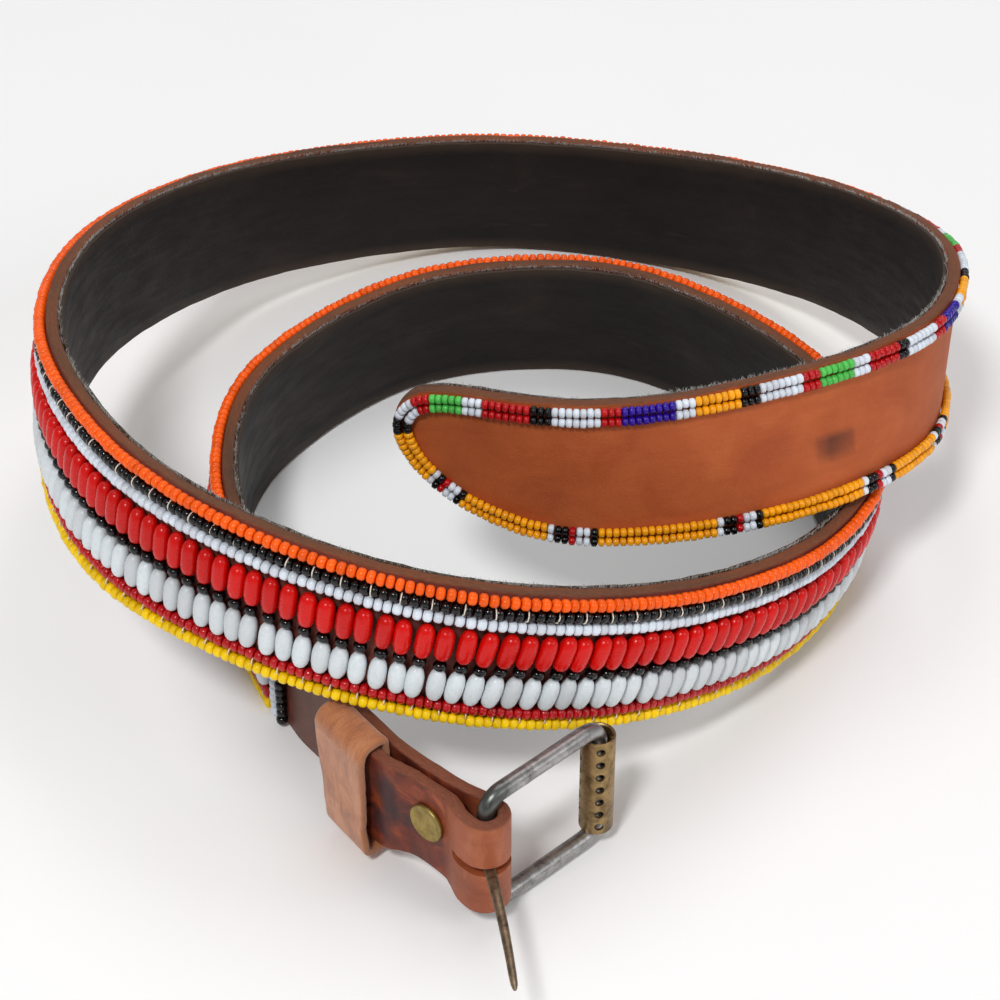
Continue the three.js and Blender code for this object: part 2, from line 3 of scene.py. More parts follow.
import bpy
import numpy as np
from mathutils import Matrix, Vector


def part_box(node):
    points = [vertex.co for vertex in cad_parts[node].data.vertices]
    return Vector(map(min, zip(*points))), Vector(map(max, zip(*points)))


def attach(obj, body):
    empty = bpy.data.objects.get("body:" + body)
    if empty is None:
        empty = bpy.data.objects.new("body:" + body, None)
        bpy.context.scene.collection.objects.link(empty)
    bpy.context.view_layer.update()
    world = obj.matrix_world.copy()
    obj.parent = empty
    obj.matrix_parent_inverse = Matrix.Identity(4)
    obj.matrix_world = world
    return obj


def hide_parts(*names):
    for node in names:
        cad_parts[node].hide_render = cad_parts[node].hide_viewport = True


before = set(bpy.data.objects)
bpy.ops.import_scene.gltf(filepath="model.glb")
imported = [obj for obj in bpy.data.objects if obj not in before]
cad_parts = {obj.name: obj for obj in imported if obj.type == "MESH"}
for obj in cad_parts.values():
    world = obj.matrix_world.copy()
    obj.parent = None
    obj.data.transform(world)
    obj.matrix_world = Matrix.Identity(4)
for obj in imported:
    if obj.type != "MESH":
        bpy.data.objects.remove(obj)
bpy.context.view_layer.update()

# A leather belt covered with rows of glass beads, unfastened and standing on its lower edge in a loose coil.
# Sizes are in millimetres and are turned into metres where a mesh is made.
metres = 0.001

# Strap, lining and coil
strap_width = 38.0
leather_thickness = 3.2
lining_thickness = 0.9
lining_inset = 0.5
piece_gap = 0.3
coil_width = 230.0
lean_depth = 4.6

# Buckle end
narrow_share = 0.71
narrow_until = 38.0
full_width_from = 74.0
lining_start = 50.0
flap_offset = 3.6
bar_behind_start = 5.0
bar_offset = 1.8
fold_height = 25.7
fold_radius = 4.05
slot_half = 1.15
slot_flap_end = 0.6
slot_strap_end = -0.6

# Buckle
wire_diameter = 4.1
frame_inner_height = 28.6
frame_reach = 35.0
frame_heading = 44.0
frame_corner_radius = 4.5
roller_diameter = 8.0
roller_wall = 0.7
roller_length = 27.6
roller_hole_diameter = 2.1
roller_hole_pitch = 3.8
roller_hole_columns = 4
roller_hole_rows = 7
roller_hole_turn = 8.0
prong_length = 40.0
prong_heading = -81.0
prong_thickness = 1.6
prong_bow = 0.5
prong_ring_inner = 2.35
prong_ring_outer = 3.75

# Taper of the prong's shank: share of its length, width, thickness
prong_taper = [
    (0, 2.8, 1.55),
    (0.35, 2.4, 1.55),
    (0.93, 1.75, 1.36),
    (0.975, 1.5, 1.2),
    (1, 0.8, 0.8),
]

# Keeper and rivet
keeper_start = 24.5
keeper_width = 16.0
keeper_wall = 1.8
keeper_lift = 2.0
keeper_inner_far = 3.7
keeper_inner_near = 8.6
keeper_inner_top = 14.69
rivet_position = 9.8
rivet_height = 2.6
rivet_head_diameter = 9.6
rivet_head_thickness = 1.0
rivet_shank_diameter = 3.2
rivet_cap_diameter = 7.0

# Beading
beading_start = 82.0
tip_border_length = 239.0
border_setback = 4.0
seed_pitch = 2.1
oval_pitch = 4.3
border_pitch = 1.6
seed_diameter = 2.95
bar_seed_diameter = 2.8
border_seed_diameter = 2.3
bar_margin = 1.2
spacer_lift = 2.1
border_sag = 0.6
thread_radius = 0.17

# Loops of thread over the rows: middle below the upper edge, radius, share of the loops that is still there
stitch_loops = [(4.83, 1.5, 1.0), (34.7, 1.25, 1.0)]

# Middle line of the coil: x and y as shares of the coil width, rise of the lower edge as a share of the
# strap width, lean of the upper edge to the inside in degrees
coil_rows = [
    (-0.023, -0.479, 0, 0),
    (-0.124, -0.374, 0, 0),
    (-0.235, -0.183, 0, 0),
    (-0.3, 0.022, 0, 1),
    (-0.27, 0.228, 0, 3),
    (-0.1, 0.411, 0, 7),
    (0.135, 0.436, 0, 7),
    (0.322, 0.286, 0, 3),
    (0.396, 0.063, 0.02, -10),
    (0.322, -0.126, 0.13, -12),
    (0.165, -0.291, 0.49, -7),
    (-0.026, -0.37, 0.87, -1),
    (-0.226, -0.322, 1.03, 6),
    (-0.396, -0.174, 1.04, 12),
    (-0.483, 0.052, 1, 3),
    (-0.457, 0.309, 0.8, -1),
    (-0.304, 0.583, 0.35, 0),
    (-0.035, 0.735, 0.05, 2),
    (0.222, 0.697, 0.03, -3),
    (0.413, 0.517, 0.35, -4),
    (0.5, 0.261, 0.8, -6),
    (0.461, 0.048, 1.03, 4),
    (0.304, -0.087, 1.12, 12),
    (0.096, -0.139, 1.13, 5),
    (-0.107, -0.084, 1.14, -4),
]

# Outline of the tip: distance back from the nose, upper edge, lower edge, as shares of the strap width
tip_rows = [
    (1.1, 0.5, -0.5),
    (0.9, 0.5, -0.488),
    (0.7, 0.5, -0.455),
    (0.55, 0.5, -0.415),
    (0.42, 0.495, -0.365),
    (0.29, 0.48, -0.29),
    (0.16, 0.435, -0.18),
    (0.07, 0.365, -0.06),
    (0.02, 0.285, 0.05),
    (0, 0.215, 0.13),
]

# Flap: distance along the strap, extra spacing from it, upper edge, lower edge as shares of the strap width.
# The back of the keeper lies between the flap and the strap.
flap_rows = [
    (34, keeper_lift, 0.36, -0.35),
    (23, keeper_lift, 0.355, -0.345),
    (19, keeper_lift / 2, 0.34, -0.32),
    (15.2, 0, 0.333, -0.305),
    (9.8, 0, 0.33, -0.3),
    (4.6, 0.05, 0.333, -0.315),
    (1.8, 0.8, 0.335, -0.33),
    (-1.5, 2, 0.338, -0.338),
]

# Start of the strap beside the bar: distance along it, set to the inside, height as a share of its width
start_rows = [
    (-1.5, 1.75, 0.69),
    (2, 0.7, 0.7),
    (6, 0.1, 0.71),
]

# Seed rows of the full beading: name, middle below the upper edge, how much lower the row sags along the
# back of the outer turn, colour
seed_rows = [
    ("orange_row", 1.52, 0.85, "orange"),
    ("black_row", 4.83, 0.5, "black"),
    ("white_row", 8.21, 0.25, "white"),
    ("red_row", 33.0, 0.0, "red"),
    ("yellow_row", 36.4, 0.0, "yellow"),
]

# Beads of each string across the belt: name, middle below the upper edge, length, diameter, colour
string_rows = [
    ("red_oval_band", 14.85, 9.3, 4.4, "oval_red"),
    ("spacer_row", 20.8, 2.2, 3.2, "black"),
    ("white_oval_band", 26.65, 9.0, 4.4, "oval_white"),
]

# Bars of seed beads across the strap where the beading begins: name, distance along the strap, colour
start_bars = [
    ("start_bar_black", 75.4, "black"),
    ("start_bar_white", 79.0, "white"),
]

# Tip border, from the black beads on the nose: colour and number of beads, along the upper and lower edge
upper_border = [
    ("black", 1.5), ("white", 5), ("red", 3), ("green", 6), ("white", 3), ("red", 7), ("black", 3),
    ("white", 7), ("red", 3), ("blue", 8), ("white", 3), ("gold", 7), ("black", 3), ("white", 7),
    ("red", 3), ("green", 6), ("white", 3), ("red", 6), ("black", 2), ("white", 7), ("red", 3),
    ("blue", 6), ("white", 3), ("gold", 7), ("black", 3), ("white", 7), ("red", 3), ("green", 6),
    ("white", 3), ("red", 7), ("black", 3), ("white", 7), ("red", 3), ("blue", 7), ("white", 3),
    ("gold", 7), ("black", 3), ("white", 7), ("red", 3), ("green", 6), ("white", 3), ("red", 7),
]
border_group = [("white", 1), ("black", 2), ("red", 1), ("white", 2), ("black", 1)]
lower_border = [("black", 1.5), ("gold", 9)]
for gold_count in (14, 17, 18, 12, 16, 17, 15, 18):
    lower_border += border_group + [("gold", gold_count)]

# Colours as red, green and blue from 0 to 255
paints = {
    "orange": (255, 98, 8),
    "black": (6, 5, 8),
    "white": (226, 234, 244),
    "red": (190, 12, 18),
    "yellow": (254, 214, 8),
    "oval_red": (214, 12, 6),
    "oval_white": (222, 230, 234),
    "green": (84, 196, 84),
    "blue": (44, 10, 148),
    "gold": (255, 172, 10),
}


def linear(rgb):
    """A colour of 0 to 255 steps as linear red, green, blue and alpha."""
    shares = [value / 255 for value in rgb]
    bright = [s / 12.92 if s <= 0.04045 else ((s + 0.055) / 1.055) ** 2.4 for s in shares]
    return (*bright, 1.0)


# Middle line, its directions and lengths

def unit(vectors):
    return vectors / np.linalg.norm(vectors, axis=-1, keepdims=True)


def padded_bends():
    """The bends with one more before the first and after the last, which leave both ends level."""
    rows = np.array(coil_rows, dtype=float)
    lean = np.radians(rows[:, 3])
    height = rows[:, 2] * strap_width + strap_width / 2 * np.cos(lean) + lean_depth * np.abs(np.sin(lean))
    bends = np.column_stack((rows[:, 0] * coil_width, rows[:, 1] * coil_width, height, lean))
    before = bends[1].copy()
    before[:2] = 2 * bends[0, :2] - bends[1, :2]
    after = bends[-2].copy()
    after[:2] = 2 * bends[-1, :2] - bends[-2, :2]
    return np.vstack((before, bends, after))


bends = padded_bends()
last_bend = len(coil_rows) - 1


def bend_frames(position):
    """Centre and the along, up and out directions at places counted in bends."""
    index = np.clip(np.floor(position).astype(int), 0, last_bend - 1)
    u = (position - index)[:, None]
    a, b, c, d = (bends[index + k] for k in range(4))
    first = c - a
    second = 2 * a - 5 * b + 4 * c - d
    third = -a + 3 * b - 3 * c + d
    value = 0.5 * (2 * b + first * u + second * u**2 + third * u**3)
    slope = 0.5 * (first + 2 * second * u + 3 * third * u**2)
    along = unit(slope[:, :3])
    inward = unit(np.column_stack((slope[:, 1], -slope[:, 0], np.zeros(len(slope)))))
    rising = np.cross(inward, along)
    lean = value[:, 3:4]
    up = rising * np.cos(lean) + inward * np.sin(lean)
    out = rising * np.sin(lean) - inward * np.cos(lean)
    return value[:, :3], along, up, out


samples_per_bend = 40
bend_places = np.arange(last_bend * samples_per_bend + 1) / samples_per_bend
sampled = bend_frames(bend_places)[0]
steps = np.linalg.norm(np.diff(sampled, axis=0), axis=1)
lengths = np.concatenate(([0], np.cumsum(steps)))
strap_length = lengths[-1]
tip_border_start = strap_length - tip_border_length
beading_end = tip_border_start - border_setback

# The part is moved so that its plan is centred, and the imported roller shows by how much
start_centre, start_along, start_up, start_out = (values[0] for values in bend_frames(np.zeros(1)))
upright = np.array((0.0, 0.0, 1.0))
path_bar = start_centre - bar_behind_start * start_along + bar_offset * start_out
reach = np.array((math.cos(math.radians(frame_heading)), math.sin(math.radians(frame_heading)), 0.0))
roller_low, roller_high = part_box("roller")
roller_middle = (np.array(roller_low) + np.array(roller_high)) / 2 / metres
shift = roller_middle - (path_bar + frame_reach * reach)
bar = path_bar + shift
roller_at = bar + frame_reach * reach


def frames_at(along):
    """Centre and directions at lengths along the strap. The start goes on straight behind zero."""
    along = np.asarray(along, dtype=float)
    centre, forward, up, out = bend_frames(np.interp(along, lengths, bend_places))
    centre = centre + np.minimum(along, 0)[:, None] * forward + shift
    return centre, forward, up, out


def on_strap(along, up, out):
    """Points by length along the strap, height over its middle line and distance off its middle layer."""
    along, up, out = np.broadcast_arrays(*(np.asarray(v, dtype=float) for v in (along, up, out)))
    centre, _, rise, face = frames_at(along.ravel())
    points = centre + rise * up.ravel()[:, None] + face * out.ravel()[:, None]
    return points.reshape(along.shape + (3,))


# Camera at the photograph's angle
camera_distance = 660.0
camera_height_angle = math.radians(37)
camera_target = np.array((0.0, 0.0, 30.0)) + shift
camera_data = bpy.data.cameras.new("camera")
camera = bpy.data.objects.new("camera", camera_data)
bpy.context.scene.collection.objects.link(camera)
bpy.context.scene.camera = camera
camera_data.sensor_width = 36
camera_data.lens = 94.1
camera_data.clip_start = 0.05
camera_data.clip_end = 20
back = np.array((0.0, -math.cos(camera_height_angle), math.sin(camera_height_angle)))
camera.location = Vector((camera_target + camera_distance * back) * metres)
camera.rotation_euler = Vector(-back).to_track_quat("-Z", "Y").to_euler()


# Meshes

def ripple(place, seed):
    """A smooth uneven wave between about -1 and 1."""
    turns = np.random.default_rng(seed).uniform(0, 2 * math.pi, 4)
    waves = (np.sin(place * rate + turn) for rate, turn in zip((1.0, 1.73, 2.9, 4.7), turns))
    return sum(wave * share for wave, share in zip(waves, (0.42, 0.28, 0.18, 0.12)))


def add_piece(name, points, faces, look, body="belt", attributes=None):
    """An object from points in millimetres and arrays of faces, each array with its own number of corners."""
    mesh = bpy.data.meshes.new(name)
    mesh.vertices.add(len(points))
    mesh.vertices.foreach_set("co", (np.asarray(points) * metres).astype(np.float32).ravel())
    corners = np.concatenate([group.ravel() for group in faces]).astype(np.int32)
    sizes = np.concatenate([np.full(len(group), group.shape[1]) for group in faces])
    starts = np.concatenate(([0], np.cumsum(sizes)[:-1])).astype(np.int32)
    mesh.loops.add(len(corners))
    mesh.loops.foreach_set("vertex_index", corners)
    mesh.polygons.add(len(sizes))
    mesh.polygons.foreach_set("loop_start", starts)
    mesh.update(calc_edges=True)
    mesh.shade_smooth()
    for key, values in (attributes or {}).items():
        values = np.asarray(values, dtype=np.float32)
        kind, field = {1: ("FLOAT", "value"), 3: ("FLOAT_VECTOR", "vector"), 4: ("FLOAT_COLOR", "color")}[
            1 if values.ndim == 1 else values.shape[1]
        ]
        mesh.attributes.new(key, kind, "POINT").data.foreach_set(field, values.ravel())
    mesh.materials.append(look)
    piece = bpy.data.objects.new(name, mesh)
    bpy.context.scene.collection.objects.link(piece)
    if body:
        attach(piece, body)
    return piece


def ring_faces(rings, count, closed=False):
    """Quads between rings of points. They face out if a ring turns to the left of the way the rings go."""
    here = np.arange(rings if closed else rings - 1)[:, None]
    after = (here + 1) % rings
    i = np.arange(count)[None, :]
    j = (i + 1) % count
    quads = (here * count + i, here * count + j, after * count + j, after * count + i)
    return np.stack(quads, axis=-1).reshape(-1, 4)


def end_faces(rings, count):
    first = np.arange(count)[::-1].reshape(1, -1)
    last = (np.arange(count) + (rings - 1) * count).reshape(1, -1)
    return [first, last]


def join_with(piece, tool, operation):
    """Cuts the tool out of the piece, or joins it on, and removes the tool."""
    modifier = piece.modifiers.new("join", "BOOLEAN")
    modifier.operation = operation
    modifier.solver = "EXACT"
    modifier.object = tool
    bpy.context.view_layer.update()
    evaluated = piece.evaluated_get(bpy.context.evaluated_depsgraph_get())
    made = bpy.data.meshes.new_from_object(evaluated)
    piece.modifiers.clear()
    piece.data = made
    bpy.data.objects.remove(tool)
    made.shade_smooth()
    made.set_sharp_from_angle(angle=math.radians(38))


def turned_shape(profile, sides):
    """A closed solid turned about x. Its profile of (x, radius) begins and ends at radius 0."""
    turns = 2 * math.pi * np.arange(sides) / sides
    points = [(profile[0][0], 0, 0)]
    for x, radius in profile[1:-1]:
        points += [(x, radius * math.cos(turn), radius * math.sin(turn)) for turn in turns]
    points.append((profile[-1][0], 0, 0))
    rings = len(profile) - 2
    i = np.arange(sides)
    j = (i + 1) % sides
    last = rings * sides + 1
    first_fan = np.column_stack((np.zeros(sides, int), 1 + j, 1 + i))
    last_fan = np.column_stack((np.full(sides, last), last - sides + i, last - sides + j))
    return np.array(points, dtype=float), [ring_faces(rings, sides) + 1, first_fan, last_fan]


def scatter(shape, centre, axis, out, size, spin):
    """Copies of a turned shape: x goes along the axis, and size scales it along, out and sideways."""
    points, faces = shape
    side = np.cross(axis, out)
    turn = spin[:, None]
    y = points[:, 1] * np.cos(turn) - points[:, 2] * np.sin(turn)
    z = points[:, 1] * np.sin(turn) + points[:, 2] * np.cos(turn)
    x = np.broadcast_to(points[:, 0], y.shape)
    placed = (
        centre[:, None]
        + (x * size[:, 0:1])[..., None] * axis[:, None]
        + (y * size[:, 1:2])[..., None] * out[:, None]
        + (z * size[:, 2:3])[..., None] * side[:, None]
    )
    offsets = np.arange(len(centre)) * len(points)
    copied = [(group[None] + offsets[:, None, None]).reshape(-1, group.shape[1]) for group in faces]
    return placed.reshape(-1, 3), copied


def strands(courses, radii, reference, sides):
    """Thin round threads along courses of points, as one set of points and faces."""
    count, stations = courses.shape[:2]
    forward = unit(np.gradient(courses, axis=1))
    across = unit(np.cross(forward, reference[:, None]))
    other = np.cross(forward, across)
    turns = 2 * math.pi * np.arange(sides) / sides
    spokes = (
        across[:, :, None] * np.cos(turns)[None, None, :, None]
        + other[:, :, None] * np.sin(turns)[None, None, :, None]
    )
    points = courses[:, :, None] + spokes * radii[:, :, None, None]
    offsets = np.arange(count)[:, None, None] * stations * sides
    faces = [ring_faces(stations, sides), *end_faces(stations, sides)]
    copied = [(group[None] + offsets).reshape(-1, group.shape[1]) for group in faces]
    return points.reshape(-1, 3), copied


# Materials

def add_node(tree, kind, inputs=None, **settings):
    node = tree.nodes.new(kind)
    for key, value in settings.items():
        setattr(node, key, value)
    for key, value in (inputs or {}).items():
        if isinstance(value, bpy.types.NodeSocket):
            tree.links.new(value, node.inputs[key])
        else:
            node.inputs[key].default_value = value
    return node


def new_look(name, **sockets):
    """A material with its Principled shader's own sockets set, and its node tree and shader."""
    look = bpy.data.materials.new(name)
    look.use_nodes = True
    tree = look.node_tree
    shader = tree.nodes["Principled BSDF"]
    for key, value in sockets.items():
        shader.inputs[key.replace("_", " ").title().replace("Ior", "IOR")].default_value = value
    return look, tree, shader


def attribute(tree, name, output="Fac"):
    return add_node(tree, "ShaderNodeAttribute", attribute_name=name).outputs[output]


def object_place(tree):
    return add_node(tree, "ShaderNodeTexCoord").outputs["Object"]


def stretched(tree, place, scale):
    return add_node(tree, "ShaderNodeMapping", {"Vector": place, "Scale": scale}).outputs["Vector"]


def noise(tree, place, scale, detail=4.0, rough=0.6, bend=0.0):
    inputs = {"Vector": place, "Scale": scale, "Detail": detail, "Roughness": rough, "Distortion": bend}
    return add_node(tree, "ShaderNodeTexNoise", inputs).outputs[0]


def cells(tree, place, scale):
    inputs = {"Vector": place, "Scale": scale}
    return add_node(tree, "ShaderNodeTexVoronoi", inputs).outputs["Distance"]


def span(tree, value, low, high, to_low=0.0, to_high=1.0):
    inputs = {"Value": value, "From Min": low, "From Max": high, "To Min": to_low, "To Max": to_high}
    return add_node(tree, "ShaderNodeMapRange", inputs, clamp=True).outputs["Result"]


def combine(tree, operation, first, second):
    return add_node(tree, "ShaderNodeMath", {0: first, 1: second}, operation=operation).outputs[0]


def mix(tree, factor, first, second, mode="MIX"):
    inputs = {0: factor, 6: first, 7: second}
    return add_node(tree, "ShaderNodeMix", inputs, data_type="RGBA", blend_type=mode).outputs[2]


def ramp(tree, factor, stops):
    node = add_node(tree, "ShaderNodeValToRGB", {"Fac": factor})
    elements = node.color_ramp.elements
    while len(elements) < len(stops):
        elements.new(0.5)
    for element, (position, rgb) in zip(elements, stops):
        element.position = position
        element.color = linear(rgb)
    return node.outputs["Color"]


def bump(tree, height, strength, distance, normal=None):
    inputs = {"Height": height, "Strength": strength, "Distance": distance * metres}
    if normal is not None:
        inputs["Normal"] = normal
    return add_node(tree, "ShaderNodeBump", inputs).outputs["Normal"]


def wire_up(tree, shader, **links):
    names = {"colour": "Base Color", "roughness": "Roughness", "normal": "Normal"}
    for key, socket in links.items():
        tree.links.new(socket, shader.inputs[names[key]])


def bead_look(name, paint, roughness, gloss=0.4, unevenness=0.1):
    """Pressed glass: each bead a little lighter or darker, with a faintly uneven glossy skin."""
    look, tree, shader = new_look(name, specular_ior_level=gloss)
    place = stretched(tree, object_place(tree), (1 / metres,) * 3)
    tone = attribute(tree, "tone")
    if paint:
        base = add_node(tree, "ShaderNodeRGB")
        base.outputs[0].default_value = linear(paints[paint])
        colour = base.outputs[0]
    else:
        colour = attribute(tree, "bead_colour", "Color")
    dark = mix(tree, 1.0, colour, (0.72, 0.68, 0.68, 1), "MULTIPLY")
    varied = mix(tree, span(tree, tone, 0, 1, 0, 0.75), colour, dark)
    swirl = noise(tree, place, 0.9, 2)
    clouded = mix(tree, span(tree, swirl, 0.45, 0.8, 0, 0.35), varied, dark)
    skin = noise(tree, place, 2.2, 3)
    rough = span(tree, skin, 0.3, 0.7, roughness, roughness + unevenness)
    wire_up(tree, shader, colour=clouded, roughness=rough, normal=bump(tree, skin, 0.12, 0.08))
    return look


def strap_look():
    """Vegetable-tanned leather: tan at the tip, dark and stained at the buckle, fibrous on its cut edges."""
    look, tree, shader = new_look("strap_leather", specular_ior_level=0.35)
    place = attribute(tree, "strip_place", "Vector")
    cut = attribute(tree, "cut_edge")
    tip = attribute(tree, "tip_share")
    buckle = attribute(tree, "buckle_share")
    cloud = noise(tree, place, 0.075, 5, 0.62, 0.6)
    streak = noise(tree, stretched(tree, place, (0.05, 0.45, 0.3)), 1.0, 5, 0.65)
    grain = noise(tree, place, 1.9, 5, 0.7)
    pores = cells(tree, place, 2.6)
    tan = ramp(tree, cloud, [(0.3, (166, 76, 34)), (0.5, (178, 86, 40)), (0.72, (188, 96, 48))])
    tan = mix(tree, span(tree, streak, 0.45, 0.75, 0, 0.3), tan, linear((156, 68, 30)))
    tan = mix(tree, span(tree, grain, 0.5, 0.75, 0, 0.3), tan, linear((202, 118, 68)))
    tan = mix(tree, attribute(tree, "scar"), tan, linear((44, 26, 22)))
    under = ramp(tree, cloud, [(0.3, (92, 46, 38)), (0.55, (122, 62, 52)), (0.8, (146, 84, 66))])
    stain = noise(tree, place, 0.16, 4, 0.55, 0.9)
    worn = ramp(
        tree,
        stain,
        [(0.3, (70, 28, 20)), (0.44, (98, 40, 26)), (0.56, (124, 52, 28)), (0.7, (158, 76, 38))],
    )
    scuff = noise(tree, stretched(tree, place, (0.5, 0.12, 0.3)), 1.0, 5, 0.7)
    fold = ramp(tree, cloud, [(0.3, (134, 66, 38)), (0.55, (158, 82, 48)), (0.8, (176, 98, 60))])
    fold = mix(tree, span(tree, scuff, 0.5, 0.78, 0, 0.5), fold, linear((186, 116, 78)))
    bare = ramp(tree, stain, [(0.3, (78, 40, 24)), (0.6, (98, 50, 30)), (0.8, (112, 60, 38))])
    worn = mix(tree, attribute(tree, "fold_share"), worn, fold)
    worn = mix(tree, attribute(tree, "bare_share"), worn, bare)
    worn = mix(tree, attribute(tree, "blue_stain"), worn, linear((44, 34, 40)))
    worn = mix(tree, span(tree, streak, 0.55, 0.8, 0, 0.3), worn, linear((70, 32, 20)))
    face = mix(tree, tip, mix(tree, buckle, under, worn), tan)
    edge_tone = noise(tree, stretched(tree, place, (0.02, 0.2, 0.2)), 1.0, 4, 0.6)
    fibre = noise(tree, stretched(tree, place, (0.7, 2.4, 3.4)), 1.0, 5, 0.75)
    edge = ramp(
        tree,
        edge_tone,
        [(0.3, (96, 64, 48)), (0.45, (126, 80, 54)), (0.6, (144, 82, 50)), (0.75, (112, 78, 58))],
    )
    raw = ramp(tree, edge_tone, [(0.35, (138, 76, 54)), (0.65, (160, 96, 70))])
    edge = mix(tree, buckle, edge, raw)
    edge = mix(tree, span(tree, fibre, 0.42, 0.7, 0, 0.65), edge, linear((76, 44, 32)))
    edge = mix(tree, span(tree, fibre, 0.58, 0.74, 0, 0.3), edge, linear((184, 140, 108)))
    colour = mix(tree, cut, face, edge)
    polished = combine(tree, "MULTIPLY", buckle, combine(tree, "SUBTRACT", 1.0, cut))
    gloss = span(tree, polished, 0, 1, 0.66, 0.42)
    rough = combine(tree, "ADD", gloss, span(tree, grain, 0.3, 0.7, -0.06, 0.12))
    fine = bump(tree, pores, 0.16, 0.22)
    fine = bump(tree, grain, 0.4, 0.3, fine)
    ragged = bump(tree, combine(tree, "MULTIPLY", fibre, cut), 0.9, 0.7, fine)
    wire_up(tree, shader, colour=colour, roughness=rough, normal=ragged)
    return look


def lining_look():
    """Dark, smooth leather with faint scuffs, browner and duller towards its edges."""
    look, tree, shader = new_look("lining_leather", specular_ior_level=0.22)
    place = attribute(tree, "strip_place", "Vector")
    cloud = noise(tree, stretched(tree, place, (0.03, 0.07, 0.1)), 1.0, 5, 0.6, 0.4)
    scuff = noise(tree, stretched(tree, place, (0.06, 0.35, 0.3)), 1.0, 6, 0.72)
    grain = noise(tree, place, 1.6, 4, 0.65)
    creases = cells(tree, stretched(tree, place, (0.5, 1.1, 1.0)), 1.0)
    colour = ramp(tree, cloud, [(0.3, (15, 11, 9)), (0.55, (25, 18, 15)), (0.78, (42, 31, 25))])
    colour = mix(tree, span(tree, scuff, 0.6, 0.8, 0, 0.35), colour, linear((76, 62, 52)))
    colour = mix(tree, attribute(tree, "lining_edge"), colour, linear((74, 58, 46)))
    rough = span(tree, scuff, 0.3, 0.75, 0.42, 0.66)
    normal = bump(tree, creases, 0.12, 0.25, bump(tree, grain, 0.3, 0.2))
    wire_up(tree, shader, colour=colour, roughness=rough, normal=normal)
    return look


def suede_look():
    """Pale, worn suede with a short nap and darker rubbed streaks."""
    look, tree, shader = new_look("suede", sheen_weight=0.35, sheen_roughness=0.5, specular_ior_level=0.2)
    place = attribute(tree, "strip_place", "Vector")
    cloud = noise(tree, place, 0.16, 5, 0.6, 0.5)
    streak = noise(tree, stretched(tree, place, (0.75, 0.09, 0.3)), 1.0, 5, 0.7)
    nap = noise(tree, place, 3.2, 5, 0.8)
    colour = ramp(tree, cloud, [(0.3, (152, 90, 56)), (0.5, (184, 116, 74)), (0.72, (200, 136, 94))])
    colour = mix(tree, span(tree, streak, 0.5, 0.74, 0, 0.75), colour, linear((124, 62, 36)))
    colour = mix(tree, span(tree, nap, 0.5, 0.72, 0, 0.4), colour, linear((216, 162, 122)))
    colour = mix(tree, span(tree, nap, 0.46, 0.3, 0, 0.5), colour, linear((120, 66, 40)))
    colour = mix(tree, attribute(tree, "cut_edge"), colour, linear((166, 108, 72)))
    rough = span(tree, nap, 0.3, 0.7, 0.82, 0.98)
    normal = bump(tree, streak, 0.25, 0.5, bump(tree, nap, 0.55, 0.3))
    wire_up(tree, shader, colour=colour, roughness=rough, normal=normal)
    return look


def metal_look(name, light, dark, stain, stain_share, roughness, place_name=None, streaks=(1.0, 1.0, 1.0)):
    """Old metal: two tones, darker tarnish in clouds, fine scratches."""
    look, tree, shader = new_look(name, metallic=0.92)
    if place_name:
        place = attribute(tree, place_name, "Vector")
    else:
        place = stretched(tree, object_place(tree), (1 / metres,) * 3)
    cloud = noise(tree, place, 0.35, 5, 0.65, 0.5)
    scratch = noise(tree, stretched(tree, place, streaks), 1.0, 6, 0.75)
    speck = noise(tree, place, 2.6, 4, 0.7)
    colour = ramp(tree, cloud, [(0.32, dark), (0.62, light)])
    colour = mix(tree, span(tree, speck, 0.52, 0.74, 0, stain_share), colour, linear(stain))
    colour = mix(tree, span(tree, cloud, 0.2, 0.42, stain_share, 0), colour, linear(stain))
    if place_name:
        colour = mix(tree, attribute(tree, "tarnish"), colour, linear((52, 62, 56)))
    rough = span(tree, scratch, 0.3, 0.72, roughness, roughness + 0.24)
    normal = bump(tree, scratch, 0.22, 0.12, bump(tree, speck, 0.3, 0.12))
    wire_up(tree, shader, colour=colour, roughness=rough, normal=normal)
    return look


def thread_look(name, light, dark):
    look, tree, shader = new_look(name, sheen_weight=0.2)
    place = stretched(tree, object_place(tree), (1 / metres,) * 3)
    fibre = noise(tree, place, 3.0, 4, 0.7)
    colour = ramp(tree, fibre, [(0.35, dark), (0.65, light)])
    rough = span(tree, fibre, 0.3, 0.7, 0.6, 0.9)
    wire_up(tree, shader, colour=colour, roughness=rough, normal=bump(tree, fibre, 0.4, 0.08))
    return look


strap_leather = strap_look()
lining_leather = lining_look()
suede = suede_look()
bead_looks = {
    "orange": bead_look("orange_beads", "orange", 0.18, 0.3),
    "black": bead_look("black_beads", "black", 0.1, 0.45, 0.05),
    "white": bead_look("white_beads", "white", 0.22),
    "red": bead_look("red_beads", "red", 0.1, 0.5, 0.06),
    "yellow": bead_look("yellow_beads", "yellow", 0.26, 0.3),
    "oval_red": bead_look("oval_red_beads", "oval_red", 0.2, 0.3),
    "oval_white": bead_look("oval_white_beads", "oval_white", 0.24, 0.35),
}
border_look = bead_look("border_beads", None, 0.2)
steel = metal_look(
    "buckle_steel", (176, 174, 172), (120, 118, 118), (74, 66, 60), 0.55, 0.24, "wire_place", (0.25, 2.5, 2.5)
)
roller_brass = metal_look(
    "roller_brass", (168, 140, 96), (116, 94, 62), (58, 46, 30), 0.6, 0.3, None, (0.5, 0.5, 2.4)
)
rivet_brass = metal_look("rivet_brass", (172, 152, 88), (132, 112, 62), (88, 74, 44), 0.5, 0.32)
